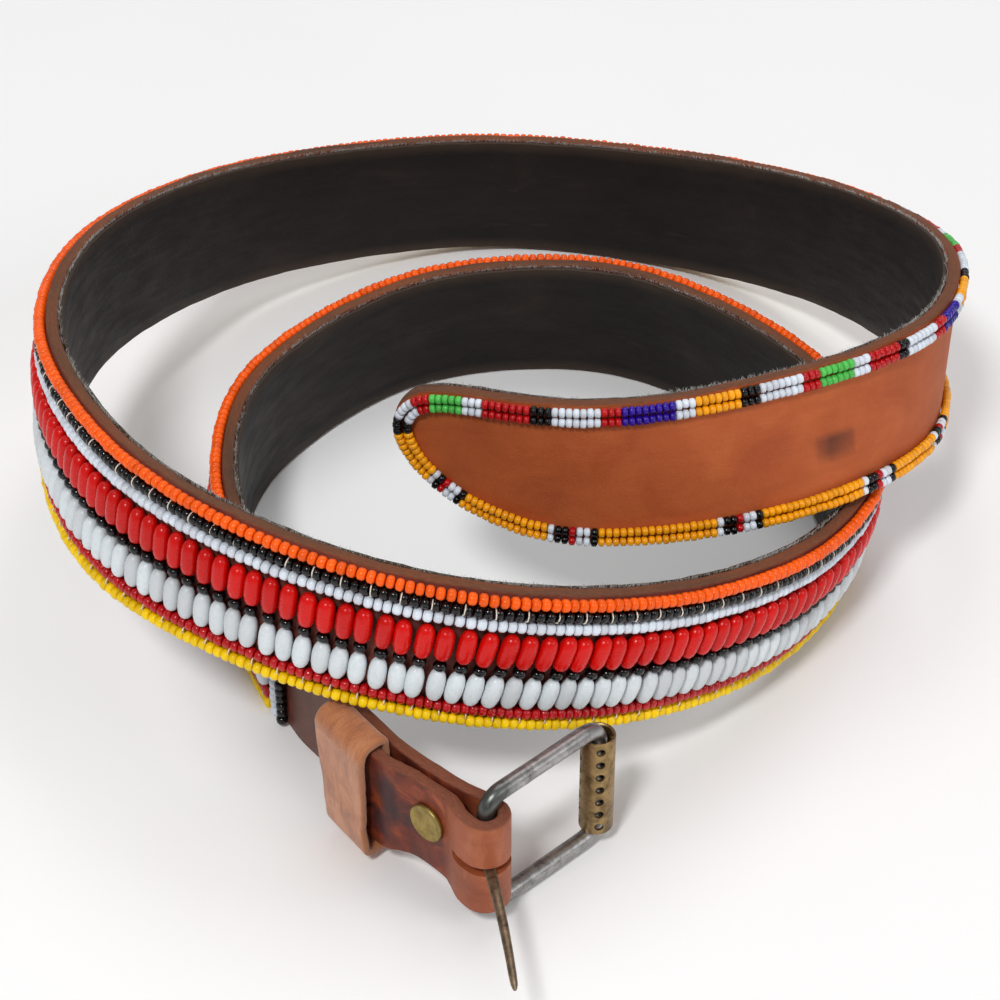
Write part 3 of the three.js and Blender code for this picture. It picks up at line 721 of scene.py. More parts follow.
prong_steel = metal_look(
    "prong_steel", (150, 132, 108), (98, 84, 68), (60, 50, 40), 0.5, 0.3, None, (0.6, 0.6, 2.0)
)
thread = thread_look("thread", (248, 240, 226), (214, 202, 182))
fuzz = thread_look("fuzz", (206, 204, 200), (138, 132, 124))


# Strip of leather: flap, fold and strap in one piece

edge_radius = 0.75
face_steps = 5
corner_steps = 3


def section(upper, lower, half, radius, gap_half):
    """Rounded section through a strip: heights and depths, turning from the outer face up and round."""
    upper = upper[:, None]
    lower = lower[:, None]
    middle = (upper + lower) / 2
    gap_half = gap_half[:, None]
    quarter = np.linspace(0, math.pi / 2, corner_steps + 1)[None, :]
    share = np.linspace(0, 1, face_steps + 1)[None, :]

    def corner(centre_up, centre_out, first):
        turn = quarter + first * math.pi / 2
        return centre_up + radius * np.sin(turn), centre_out + radius * np.cos(turn)

    rising_low = (lower + radius) + ((middle - gap_half) - (lower + radius)) * share[:, 1:]
    rising_high = (middle + gap_half) + ((upper - radius) - (middle + gap_half)) * share[:, :-1]
    face_up = np.hstack((rising_low, rising_high))
    parts = [
        (face_up, np.full_like(face_up, half)),
        corner(upper - radius, half - radius, 0),
        corner(upper - radius, -half + radius, 1),
        (face_up[:, ::-1], np.full_like(face_up, -half)),
        corner(lower + radius, -half + radius, 2),
        corner(lower + radius, half - radius, 3),
    ]
    return np.hstack([part[0] for part in parts]), np.hstack([part[1] for part in parts])


def through_points(points, steps):
    """A smooth curve through points, with a number of steps between neighbours."""
    padded = np.vstack((2 * points[0] - points[1], points, 2 * points[-1] - points[-2]))
    places = np.arange((len(points) - 1) * steps + 1) / steps
    index = np.minimum(places.astype(int), len(points) - 2)
    u = (places - index)[:, None]
    a, b, c, d = (padded[index + k] for k in range(4))
    curve = 2 * b + (c - a) * u + (2 * a - 5 * b + 4 * c - d) * u**2 + (-a + 3 * b - 3 * c + d) * u**3
    return 0.5 * curve


def half_share_at(along):
    t = np.clip((along - narrow_until) / (full_width_from - narrow_until), 0, 1)
    return (narrow_share + (1 - narrow_share) * t * t * (3 - 2 * t)) / 2


def tip_outline():
    """The tip's outline as places of length along the strap and height, round the nose from top to bottom."""
    upper = [(strap_length - back * strap_width, top * strap_width) for back, top, _ in tip_rows]
    lower = [(strap_length - back * strap_width, low * strap_width) for back, _, low in tip_rows]
    return through_points(np.array(upper + lower[::-1]), 12)


outline = tip_outline()
nose_index = len(outline) // 2
near_start = 12.0
strip_join = tip_rows[0][0] * strap_width
tip_start = strap_length - strip_join


def strap_edges(along):
    """Upper and lower edge of the strap, with the tip's outline."""
    half = half_share_at(along) * strap_width
    upper_curve = outline[: nose_index + 1]
    lower_curve = outline[nose_index:][::-1]
    upper = np.where(along > tip_start, np.interp(along, *upper_curve.T), half)
    lower = np.where(along > tip_start, np.interp(along, *lower_curve.T), -half)
    return upper, lower


def turn_rows():
    """Flap, fold and start as rows of plan place, upper edge, lower edge and place along the strip."""
    rows = []
    for along, spacing, upper, lower in flap_rows:
        x, y, _ = on_strap(along, 0, flap_offset + spacing)
        rows.append((x, y, upper * strap_width, lower * strap_width))
    for step in range(9):
        turn = math.pi / 2 + math.pi * step / 8
        x, y, _ = bar + fold_radius * (math.cos(turn) * start_along + math.sin(turn) * start_out)
        rows.append((x, y, fold_height / 2, -fold_height / 2))
    for along, inward, share in start_rows:
        x, y, _ = on_strap(along, 0, -inward)
        rows.append((x, y, share * strap_width / 2, -share * strap_width / 2))
    for along in (near_start, near_start + 6):
        x, y, _ = on_strap(along, 0, 0)
        half = narrow_share * strap_width / 2
        rows.append((x, y, half, -half))
    curve = through_points(np.array(rows), 6)[:-6]
    return curve


def strip_stations():
    """Centre, up, out, edges and place of every station of the strip, from the flap's end to the nose."""
    curve = turn_rows()
    run = unit(np.gradient(curve[:, :2], axis=0))
    count = len(curve)
    level = bar[2]
    centre = np.column_stack((curve[:, :2], np.full(count, level)))
    out = np.column_stack((-run[:, 1], run[:, 0], np.zeros(count)))
    up = np.broadcast_to(upright, out.shape)
    passed = np.concatenate(([0], np.cumsum(np.linalg.norm(np.diff(curve[:, :2], axis=0), axis=1))))
    place = passed - passed[-1] + near_start
    nose_steps = 1 - np.sqrt(np.linspace(1, 0, 40)) ** 2.2
    middle_steps = np.arange(near_start + 1.6, tip_start, 1.6)
    tip_steps = tip_start + (strip_join - 0.02) * nose_steps
    along = np.concatenate((middle_steps, tip_steps))
    upper, lower = strap_edges(along)
    main_centre, _, main_up, main_out = frames_at(along)
    return {
        "centre": np.vstack((centre, main_centre)),
        "up": np.vstack((up, main_up)),
        "out": np.vstack((out, main_out)),
        "upper": np.concatenate((curve[:, 2], upper)),
        "lower": np.concatenate((curve[:, 3], lower)),
        "place": np.concatenate((place, along)),
    }


scar_along = 1201.0
scar_up = -3.0
blue_stains = [(-46.0, 7.0, 4.0), (-43.0, 0.5, 3.0), (-39.0, -0.5, 2.4), (-47.0, -5.0, 3.0)]


def make_strap():
    strip = strip_stations()
    place = strip["place"]
    stations = len(place)
    upper = strip["upper"] + 0.22 * ripple(place / 7, 1) + 0.1 * ripple(place / 1.7, 2)
    lower = strip["lower"] + 0.18 * ripple(place / 8, 3)
    lower = np.where((place > beading_start) & (place < tip_start), strip["lower"], lower)
    nose = np.clip((strap_length - place) / 4, 0, 1)
    upper = strip["upper"] + (upper - strip["upper"]) * nose
    radius = np.minimum(edge_radius, (upper - lower) / 4)[:, None]

    # The slot is a pair of columns through the strip that close round at its ends
    slot_from, slot_to = slot_ends(strip)
    inside = (place > slot_from - 0.01) & (place < slot_to + 0.01)
    from_end = np.minimum(place - slot_from, slot_to - place)
    rounding = np.sqrt(np.clip(1 - (1 - np.clip(from_end / slot_half, 0, 1)) ** 2, 0.06, 1))
    gap_half = np.where(inside, slot_half * rounding, slot_half)
    gap_half = np.minimum(gap_half, (upper - lower) * 0.12)
    heights, depths = section(upper, lower, leather_thickness / 2, radius, gap_half)
    count = heights.shape[1]
    swell = 1 + 0.05 * ripple(place / 5, 4)[:, None]
    depths = np.where((place < beading_start)[:, None], depths * swell, depths)
    points = (
        strip["centre"][:, None]
        + heights[..., None] * strip["up"][:, None]
        + depths[..., None] * strip["out"][:, None]
    )

    quads = ring_faces(stations, count).reshape(stations - 1, count, 4)
    column = face_steps - 1
    first = np.nonzero(inside)[0][0]
    last = np.nonzero(inside)[0][-1]
    outer_low, outer_high = column, column + 1
    half_count = 2 * face_steps + 2 * (corner_steps + 1)
    inner_high = half_count + (2 * face_steps - 1 - outer_high)
    inner_low = inner_high + 1
    keep = np.ones((stations - 1, count), dtype=bool)
    keep[first:last, outer_low] = False
    keep[first:last, inner_high] = False
    walls = []
    for k in range(first, last):
        here = k * count
        after = (k + 1) * count
        walls.append((here + outer_high, here + inner_high, after + inner_high, after + outer_high))
        walls.append((here + inner_low, here + outer_low, after + outer_low, after + inner_low))
    here = first * count
    walls.append((here + outer_low, here + inner_low, here + inner_high, here + outer_high))
    here = last * count
    walls.append((here + outer_high, here + inner_high, here + inner_low, here + outer_low))
    faces = [quads[keep], np.array(walls), *end_faces(stations, count)]

    spread = np.broadcast_to(place[:, None], heights.shape)
    edge_up = np.maximum(heights - (upper[:, None] - 0.55), (lower[:, None] + 0.55) - heights)
    cut = np.clip(edge_up / 0.4, 0, 1)
    cut = np.where(spread < place[0] + 0.1, 1, cut)
    tip_share = np.clip((spread - beading_end + 1) / 3, 0, 1)
    buckle_share = np.clip((full_width_from + 3 - spread) / 6, 0, 1)
    scar_far = np.hypot((spread - scar_along) / 5.6, (heights - scar_up) / 3.4)
    wobble = 0.25 * ripple(spread / 1.3, 5) + 0.25 * ripple(heights / 0.9, 6)
    scar = np.clip(1.35 - scar_far + wobble, 0, 1) * 0.85
    fold_share = np.clip((spread + 29) / 5, 0, 1) * np.clip((3 - spread) / 5, 0, 1)
    bare_share = np.clip((spread - 24) / 6, 0, 1) * buckle_share
    blue = np.zeros_like(heights)
    for stain_place, stain_up, stain_radius in blue_stains:
        far = np.hypot(spread - stain_place, heights - stain_up) / stain_radius
        blue = np.maximum(blue, np.clip(1.5 - far + wobble, 0, 1) * 0.8)
    attributes = {
        "strip_place": np.stack((spread, heights, depths), axis=-1).reshape(-1, 3),
        "cut_edge": cut.ravel(),
        "tip_share": tip_share.ravel(),
        "buckle_share": buckle_share.ravel(),
        "fold_share": fold_share.ravel(),
        "bare_share": bare_share.ravel(),
        "scar": scar.ravel(),
        "blue_stain": blue.ravel(),
    }
    piece = add_piece("strap_leather", points.reshape(-1, 3), faces, strap_leather, attributes=attributes)
    piece.data.set_sharp_from_angle(angle=math.radians(60))
    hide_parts("strap")


def slot_ends(strip):
    """Places along the strip where the slot begins, on the flap, and ends, on the strap."""
    place = strip["place"]
    centre = strip["centre"]
    behind = ((centre - (start_centre + shift)) * start_along).sum(axis=1)
    outward = ((centre - (start_centre + shift)) * start_out).sum(axis=1)
    near = place < near_start
    flap_side = near & (outward > bar_offset)
    strap_side = near & (outward < bar_offset)
    begins = np.interp(-slot_flap_end, -behind[flap_side], place[flap_side])
    ends = np.interp(slot_strap_end, behind[strap_side], place[strap_side])
    return begins, ends


def make_lining():
    along = np.arange(lining_start + 8, strap_length - 1.2, 1.6)
    upper, lower = strap_edges(along)
    upper = upper - lining_inset + 0.16 * ripple(along / 4, 11) + 0.12 * ripple(along / 1.3, 12)
    lower = lower + lining_inset + 0.12 * ripple(along / 4, 13)
    half = lining_thickness / 2
    radius = np.full((len(along), 1), 0.3)
    heights, depths = section(upper, lower, half, radius, np.minimum(slot_half, (upper - lower) * 0.12))
    share = np.clip(np.minimum(upper[:, None] - heights, heights - lower[:, None]) / 2.2, 0, 1)
    middle = -leather_thickness / 2 - piece_gap - half
    puff = -0.12 * np.abs(ripple(along / 9, 14))[:, None] * np.sin(share * math.pi / 2)
    depths = middle + depths + np.where(depths < 0, puff, 0)
    spread = np.broadcast_to(along[:, None], heights.shape)
    points = on_strap(spread, heights, depths)
    count = heights.shape[1]
    faces = [ring_faces(len(along), count), *end_faces(len(along), count)]
    attributes = {
        "strip_place": np.stack((spread, heights, depths), axis=-1).reshape(-1, 3),
        "lining_edge": ((1 - share) ** 2 * 0.7).ravel(),
    }
    piece = add_piece("lining_leather", points.reshape(-1, 3), faces, lining_leather, attributes=attributes)
    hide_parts("lining")


def make_fuzz():
    """Short pale fibres where the lining meets the cut edge of the strap."""
    rng = np.random.default_rng(21)
    count = 7000
    along = rng.uniform(lining_start + 10, strap_length - 8, count * 3)
    wanted = 0.35 + 0.65 * np.clip(0.5 + 1.4 * ripple(along / 11, 22) + 0.8 * ripple(along / 2.1, 23), 0, 1)
    along = along[rng.uniform(0, 1, len(along)) < wanted * 0.75][:count]
    upper, _ = strap_edges(along)
    length = rng.uniform(0.35, 1.1, len(along))
    side = rng.normal(0, 0.5, len(along))
    lean = rng.normal(-0.15, 0.35, len(along))
    base_out = rng.uniform(-2.1, -1.5, len(along))
    shares = np.array((0.0, 0.5, 1.0))
    places = along[:, None] + side[:, None] * length[:, None] * shares**1.5
    heights = (upper - 0.6)[:, None] + length[:, None] * shares
    depths = base_out[:, None] + lean[:, None] * length[:, None] * shares**2
    courses = on_strap(places, heights, depths)
    radii = rng.uniform(0.05, 0.1, len(along))[:, None] * (1 - 0.75 * shares)
    reference = frames_at(along)[3]
    points, faces = strands(courses, radii, reference, 3)
    piece = add_piece("lining_fuzz", points, faces, fuzz)


# Beads

seed_profile = [
    (-0.34, 0), (-0.5, 0.2), (-0.45, 0.37), (-0.22, 0.5), (0.22, 0.5), (0.45, 0.37), (0.5, 0.2), (0.34, 0)
]
seed_shape = turned_shape(seed_profile, 14)
small_seed_profile = [(-0.36, 0), (-0.5, 0.24), (-0.3, 0.48), (0.3, 0.48), (0.5, 0.24), (0.36, 0)]
small_seed_shape = turned_shape(small_seed_profile, 12)


def oval_profile(squareness, fullness):
    places = (-0.5, -0.485, -0.43, -0.33, -0.17, 0.0, 0.17, 0.33, 0.43, 0.485, 0.5)
    inner = [(x, 0.5 * (1 - abs(2 * x) ** squareness) ** (1 / fullness)) for x in places[1:-1]]
    return [(places[0] + 0.015, 0), *inner, (places[-1] - 0.015, 0)]


string_shapes = {
    "red_oval_band": turned_shape(oval_profile(3.6, 2.2), 14),
    "spacer_row": seed_shape,
    "white_oval_band": turned_shape(oval_profile(2.8, 2.2), 14),
}
face_out = leather_thickness / 2 + 0.12


def sag_share(along):
    """Where the upper rows hang a little lower, along the back of the outer turn."""
    begins = np.clip((along - 700) / 30, 0, 1)
    ends = np.clip((1118 - along) / 20, 0, 1)
    return np.minimum(begins, ends)


def bead_piece(name, shape, centre, axis, out, size, look, rng, colours=None):
    spin = rng.uniform(0, 2 * math.pi, len(centre))
    points, faces = scatter(shape, centre, axis, out, size, spin)
    per_bead = len(shape[0])
    attributes = {"tone": np.repeat(rng.uniform(0, 1, len(centre)) ** 1.6, per_bead)}
    if colours is not None:
        attributes["bead_colour"] = np.repeat(colours, per_bead, axis=0)
    piece = add_piece(name + "_beads", points, faces, look, attributes=attributes)
    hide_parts(name)
    return piece


def tilted(axis, out, rng, amount):
    """Axes turned a little at random, and out kept square to them."""
    axis = unit(axis + rng.normal(0, amount, axis.shape))
    out = unit(out - (out * axis).sum(axis=1, keepdims=True) * axis)
    return axis, out


def make_seed_rows():
    count = int((beading_end - beading_start) / seed_pitch)
    for number, (name, middle, sag, paint) in enumerate(seed_rows):
        rng = np.random.default_rng(100 + number)
        length = rng.uniform(0.9, 1.04, count)
        places = np.cumsum(length) - length / 2
        places = beading_start + places * (beading_end - beading_start) / length.sum()
        length = length * (beading_end - beading_start) / length.sum() * 0.985
        diameter = seed_diameter * rng.uniform(0.95, 1.04, count)
        up = strap_width / 2 - middle + 0.1 * ripple(places / 14, 40 + number) + rng.normal(0, 0.05, count)
        up = up - sag * sag_share(places)
        centre = on_strap(places, up, face_out + diameter / 2)
        _, along, _, out = frames_at(places)
        axis, out = tilted(along, out, rng, 0.035)
        size = np.column_stack((length, diameter, diameter))
        bead_piece(name, seed_shape, centre, axis, out, size, bead_looks[paint], rng)


string_slant = math.radians(1)


def make_strings():
    """Strings across the belt, each of a red oval, a black spacer and a white oval."""
    count = int((beading_end - beading_start) / oval_pitch)
    layout = np.random.default_rng(130)
    places = beading_start + (np.arange(count) + 0.5) * (beading_end - beading_start) / count
    places = places + layout.normal(0, 0.12, count)
    slant = string_slant + layout.normal(0, 0.02, count)
    for number, (name, middle, length, diameter, paint) in enumerate(string_rows):
        rng = np.random.default_rng(140 + number)
        height = strap_width / 2 - middle
        slip = rng.normal(0, 0.1, count)
        wide = diameter * rng.uniform(0.95, 1.0, count)
        long = length * rng.uniform(0.97, 1.02, count)
        along_here = places - np.tan(slant) * height
        lift = face_out + (spacer_lift if name == "spacer_row" else diameter / 2)
        centre = on_strap(along_here, height + slip, lift)
        _, along, up, out = frames_at(along_here)
        axis = up * np.cos(slant)[:, None] - along * np.sin(slant)[:, None]
        axis, out = tilted(axis, out, rng, 0.018)
        size = np.column_stack((long, wide * 0.96, wide))
        bead_piece(name, string_shapes[name], centre, axis, out, size, bead_looks[paint], rng)


def make_start_bars():
    reach_up = strap_width / 2 - bar_margin
    for number, (name, along, paint) in enumerate(start_bars):
        rng = np.random.default_rng(160 + number)
        count = int(2 * reach_up / seed_pitch)
        heights = (np.arange(count) + 0.5) / count * 2 * reach_up - reach_up
        places = along + rng.normal(0, 0.06, count)
        diameter = bar_seed_diameter * rng.uniform(0.95, 1.03, count)
        centre = on_strap(places, heights, face_out + diameter / 2)
        _, _, up, out = frames_at(places)
        axis, out = tilted(up, out, rng, 0.04)
        size = np.column_stack((np.full(count, 2 * reach_up / count), diameter, diameter))
        bead_piece(name, seed_shape, centre, axis, out, size, bead_looks[paint], rng)


def border_colours(place_from_nose):
    """Linear colours at lengths from the nose, positive along the upper edge."""
    colours = np.zeros((len(place_from_nose), 4))
    for sign, groups in ((1, upper_border), (-1, lower_border)):
        edge = 0.0
        for paint, number in groups:
            reach_to = edge + number * border_pitch
            here = (sign * place_from_nose >= edge) & (sign * place_from_nose < reach_to)
            colours[here] = linear(paints[paint])
            edge = reach_to
        colours[sign * place_from_nose >= edge] = linear(paints["gold"])
    return colours


def make_border(name, inset, seed):
    rng = np.random.default_rng(seed)
    straight = np.arange(tip_border_start, tip_start, 2.0)
    top = np.column_stack((straight, np.full(len(straight), strap_width / 2)))
    course = np.vstack((top, outline, (top * (1, -1))[::-1]))
    run = unit(np.gradient(course, axis=0))
    normal = np.column_stack((-run[:, 1], run[:, 0]))
    outer_length = np.concatenate(([0], np.cumsum(np.linalg.norm(np.diff(course, axis=0), axis=1))))
    nose_length = outer_length[np.argmax(course[:, 0])]
    inner = course - normal * inset
    own_length = np.concatenate(([0], np.cumsum(np.linalg.norm(np.diff(inner, axis=0), axis=1))))
    count = int(own_length[-1] / border_pitch)
    at = (np.arange(count) + 0.5) * own_length[-1] / count
    place = np.interp(at, own_length, inner[:, 0])
    height = np.interp(at, own_length, inner[:, 1]) + rng.normal(0, 0.05, count)
    height = height - np.where(height > 0, border_sag * sag_share(place), 0)
    run_along = np.interp(at, own_length, run[:, 0])
    run_up = np.interp(at, own_length, run[:, 1])
    diameter = border_seed_diameter * rng.uniform(0.94, 1.04, count)
    centre = on_strap(place, height, face_out + diameter / 2)
    _, along, up, out = frames_at(place)
    axis = unit(along * run_along[:, None] + up * run_up[:, None])
    axis, out = tilted(axis, out, rng, 0.05)
    size = np.column_stack((np.full(count, own_length[-1] / count), diameter, diameter * 1.03))
    colours = border_colours(nose_length - np.interp(at, own_length, outer_length))
    bead_piece(name, small_seed_shape, centre, axis, out, size, border_look, rng, colours)


def make_stitches():
    """Thread that ties the rows down: a loop over the black row and a small one beside the red row."""
    rng = np.random.default_rng(170)
    places = np.arange(beading_start + 3.2, beading_end - 3, 3 * seed_pitch)
    places = places + rng.normal(0, 0.1, len(places))
    turns = np.linspace(-1.25, 1.25, 9)
    courses = []
    for middle, radius, left in stitch_loops:
        here = places[rng.uniform(0, 1, len(places)) < left]
        wave = rng.normal(0, 0.12, (len(here), 1)) * turns
        height = strap_width / 2 - middle + radius * np.sin(turns) * rng.uniform(0.9, 1.1, (len(here), 1))
        lift = face_out + 0.4 + (radius + 0.95) * np.cos(turns * 0.92)
        courses.append(on_strap(here[:, None] + wave, height, np.broadcast_to(lift, wave.shape)))
    courses = np.vstack(courses)
    radii = np.full(courses.shape[:2], thread_radius)
    reference = np.broadcast_to(upright, (len(courses), 3)) + 0.2 * rng.normal(0, 1, (len(courses), 3))
    points, faces = strands(courses, radii, reference, 5)
    piece = add_piece("row_stitches", points, faces, thread)


# Keeper

def keeper_loop(push, steps):
    """Heights, depths and normals round the keeper's wall, with rounded corners."""
    top = keeper_inner_top + push
    near = keeper_inner_near + push
    far = keeper_inner_far - push
    corners = [
        (top, near, 3.4, 0),
        (top, far, 1.4, 90),
        (-top, far, 1.4, 180),
        (-top, near, 2.8, 270),
    ]
    rows = []
    for height, depth, radius, first in corners:
        centre_up = height - math.copysign(radius, height)
        centre_out = depth - math.copysign(radius, depth - (near + far) / 2)
        for step in range(9):
            turn = math.radians(first + 90 * step / 8)
            rows.append((centre_up + radius * math.sin(turn), centre_out + radius * math.cos(turn)))
    rows = np.array(rows + rows[:1])
    passed = np.concatenate(([0], np.cumsum(np.linalg.norm(np.diff(rows, axis=0), axis=1))))
    at = np.linspace(0, passed[-1], steps, endpoint=False)
    loop = np.column_stack((np.interp(at, passed, rows[:, 0]), np.interp(at, passed, rows[:, 1])))
    run = unit(np.roll(loop, -1, axis=0) - np.roll(loop, 1, axis=0))
    normal = np.column_stack((-run[:, 1], run[:, 0]))
    return loop, -normal if (normal * loop).sum() < 0 else normal


def make_keeper():
    steps = 150
    half_wall = keeper_wall / 2
    loop, normal = keeper_loop(half_wall, steps)
    width = np.full(1, keeper_width / 2)
    across, thick = section(width, -width, half_wall, np.full((1, 1), 0.6), np.full(1, 1.0))
    across = across[0]
    thick = thick[0]
    turn = 2 * math.pi * np.arange(steps) / steps
    wave = 0.5 * ripple(turn * 2, 31) + 0.25 * ripple(turn * 7, 32)
    front = np.clip((loop[:, 1] - keeper_inner_far - 1) / 4, 0, 1)
    low_corner = np.exp(-((loop[:, 0] + keeper_inner_top) / 4) ** 2) * front
    toward = (across < 0)[None, :] * (wave - 0.9 * low_corner)[:, None]
    back_wave = (across > 0)[None, :] * (0.4 * ripple(turn * 3, 33))[:, None]
    slant = (0.065 + 0.065 * across / (keeper_width / 2))[None, :] * loop[:, 0][:, None]
    along = keeper_start + keeper_width / 2 + across[None, :] + slant + toward + back_wave
    mouth = np.clip(-across / (keeper_width / 2), 0, 1) ** 2
    flare = front[:, None] * (0.2 + 0.6 * mouth[None, :])
    bulge = 0.35 * np.sin(turn * 3 + 0.6)[:, None] * np.cos(across * math.pi / keeper_width)[None, :]
    up = loop[:, 0][:, None] + normal[:, 0][:, None] * (thick[None, :] + bulge * 0.5)
    out = loop[:, 1][:, None] + normal[:, 1][:, None] * (thick[None, :] + bulge * 0.5) + flare
    points = on_strap(along, up, out)
    count = len(across)
    quads = ring_faces(steps, count, closed=True)
    passed = np.cumsum(np.linalg.norm(loop - np.roll(loop, 1, axis=0), axis=1))
    spread = np.broadcast_to(across[None, :], along.shape)
    round_place = np.broadcast_to(passed[:, None], along.shape)
    layer = np.broadcast_to(thick[None, :], along.shape)
    cut = np.clip((np.abs(spread) - keeper_width / 2 + 0.5) / 0.4, 0, 1)
    attributes = {
        "strip_place": np.stack((spread, round_place, layer), axis=-1).reshape(-1, 3),
        "cut_edge": cut.ravel(),
    }
    piece = add_piece("keeper_suede", points.reshape(-1, 3), [quads], suede, attributes=attributes)
    face_out_of(piece)
    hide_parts("keeper")


def face_out_of(piece):
    """Turns a closed mesh's faces outwards."""
    mesh = piece.data
    count = len(mesh.vertices)
    points = np.empty(count * 3)
    mesh.vertices.foreach_get("co", points)
    points = points.reshape(-1, 3)
    mesh.calc_loop_triangles()
    corners = np.empty(len(mesh.loop_triangles) * 3, dtype=np.int32)
    mesh.loop_triangles.foreach_get("vertices", corners)
    a, b, c = (points[corners.reshape(-1, 3)[:, k]] for k in range(3))
    if (a * np.cross(b, c)).sum() < 0:
        mesh.flip_normals()


# Buckle

def turned_piece(name, profile, sides, origin, axis, look, body):
    """A solid turned about an axis, its profile given as distance along the axis and radius."""
    points, faces = turned_shape(profile, sides)
    axis = np.asarray(axis, dtype=float)
    side = np.cross(axis, (0.0, 0.0, 1.0) if abs(axis[2]) < 0.9 else (1.0, 0.0, 0.0))
    side = side / np.linalg.norm(side)
    other = np.cross(axis, side)
    placed = origin + points[:, 0:1] * axis + points[:, 1:2] * side + points[:, 2:3] * other
    piece = add_piece(name, placed, faces, look, body=body)
    piece.data.set_sharp_from_angle(angle=math.radians(50))
    return piece


def make_rivet():
    centre, _, up, out = (values[0] for values in frames_at(np.array((rivet_position,))))
    centre = centre + rivet_height * up
    base = flap_offset + leather_thickness / 2 + piece_gap - 0.1
    cap_top = -leather_thickness / 2 - piece_gap + 0.1
    head = rivet_head_diameter / 2
    cap = rivet_cap_diameter / 2
    shank = rivet_shank_diameter / 2
    top = base + rivet_head_thickness
    profile = [
        (cap_top - 0.9, 0),
        (cap_top - 0.9, cap * 0.55),
        (cap_top - 0.75, cap * 0.86),
        (cap_top - 0.35, cap),
        (cap_top, cap * 0.97),
        (cap_top, shank),
        (base, shank),
        (base, head * 0.98),
        (base + 0.3, head),
        (top - 0.22, head * 0.985),
        (top - 0.04, head * 0.95),
        (top, head * 0.91),
        (top - 0.03, head * 0.87),
        (top - 0.16, head * 0.83),
        (top - 0.17, head * 0.6),
        (top - 0.13, head * 0.3),
        (top - 0.12, 0),
    ]
    piece = turned_piece("rivet_brass", profile, 48, centre, out, rivet_brass, "belt")
    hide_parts("rivet")


def make_frame():
    """A rounded rectangle of round wire, its thickness a little uneven."""
    half_height = frame_inner_height / 2 + wire_diameter / 2
    radius = frame_corner_radius
    corners = [
        (frame_reach - radius, half_height - radius, 0),
        (radius, half_height - radius, 90),
        (radius, -half_height + radius, 180),
        (frame_reach - radius, -half_height + radius, 270),
    ]
    rows = []
    for across, height, first in corners:
        for step in range(11):
            turn = math.radians(first + 9 * step)
            rows.append((across + radius * math.cos(turn), height + radius * math.sin(turn)))
    rows = np.array(rows + rows[:1])
    passed = np.concatenate(([0], np.cumsum(np.linalg.norm(np.diff(rows, axis=0), axis=1))))
    count = 150
    at = np.linspace(0, passed[-1], count, endpoint=False)
    path = np.column_stack((np.interp(at, passed, rows[:, 0]), np.interp(at, passed, rows[:, 1])))
    run = unit(np.roll(path, -1, axis=0) - np.roll(path, 1, axis=0))
    forward = run[:, 0:1] * reach + run[:, 1:2] * upright
    outward = run[:, 1:2] * reach - run[:, 0:1] * upright
    sideways = np.cross(forward, outward)
    centre = bar + path[:, 0:1] * reach + path[:, 1:2] * upright
    sides = 20
    turns = 2 * math.pi * np.arange(sides) / sides
    thick = wire_diameter / 2 * (1 + 0.015 * ripple(at / 4, 51))
    spokes = (
        outward[:, None] * np.cos(turns)[None, :, None] + sideways[:, None] * np.sin(turns)[None, :, None]
    )
    points = centre[:, None] + spokes * thick[:, None, None]
    spread = np.broadcast_to(at[:, None], (count, sides))
    outward_place = np.broadcast_to(2 * np.cos(turns), spread.shape)
    sideways_place = np.broadcast_to(2 * np.sin(turns), spread.shape)
    wire_place = np.stack((spread, outward_place, sideways_place), axis=-1)
    near_bar = np.clip((8.5 - path[:, 0]) / 4, 0, 1)
    near_top = np.clip((14 - np.abs(half_height - path[:, 1])) / 6, 0, 1)
    dulled = 0.85 * (near_bar * near_top) * (0.75 + 0.25 * ripple(at / 1.5, 52))
    tarnish = np.broadcast_to(dulled[:, None], spread.shape)
    attributes = {"wire_place": wire_place.reshape(-1, 3), "tarnish": np.clip(tarnish, 0, 1).ravel()}
    faces = [ring_faces(count, sides, closed=True)]
    piece = add_piece("frame_wire", points.reshape(-1, 3), faces, steel, body="frame", attributes=attributes)
    face_out_of(piece)
    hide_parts("buckle_frame")


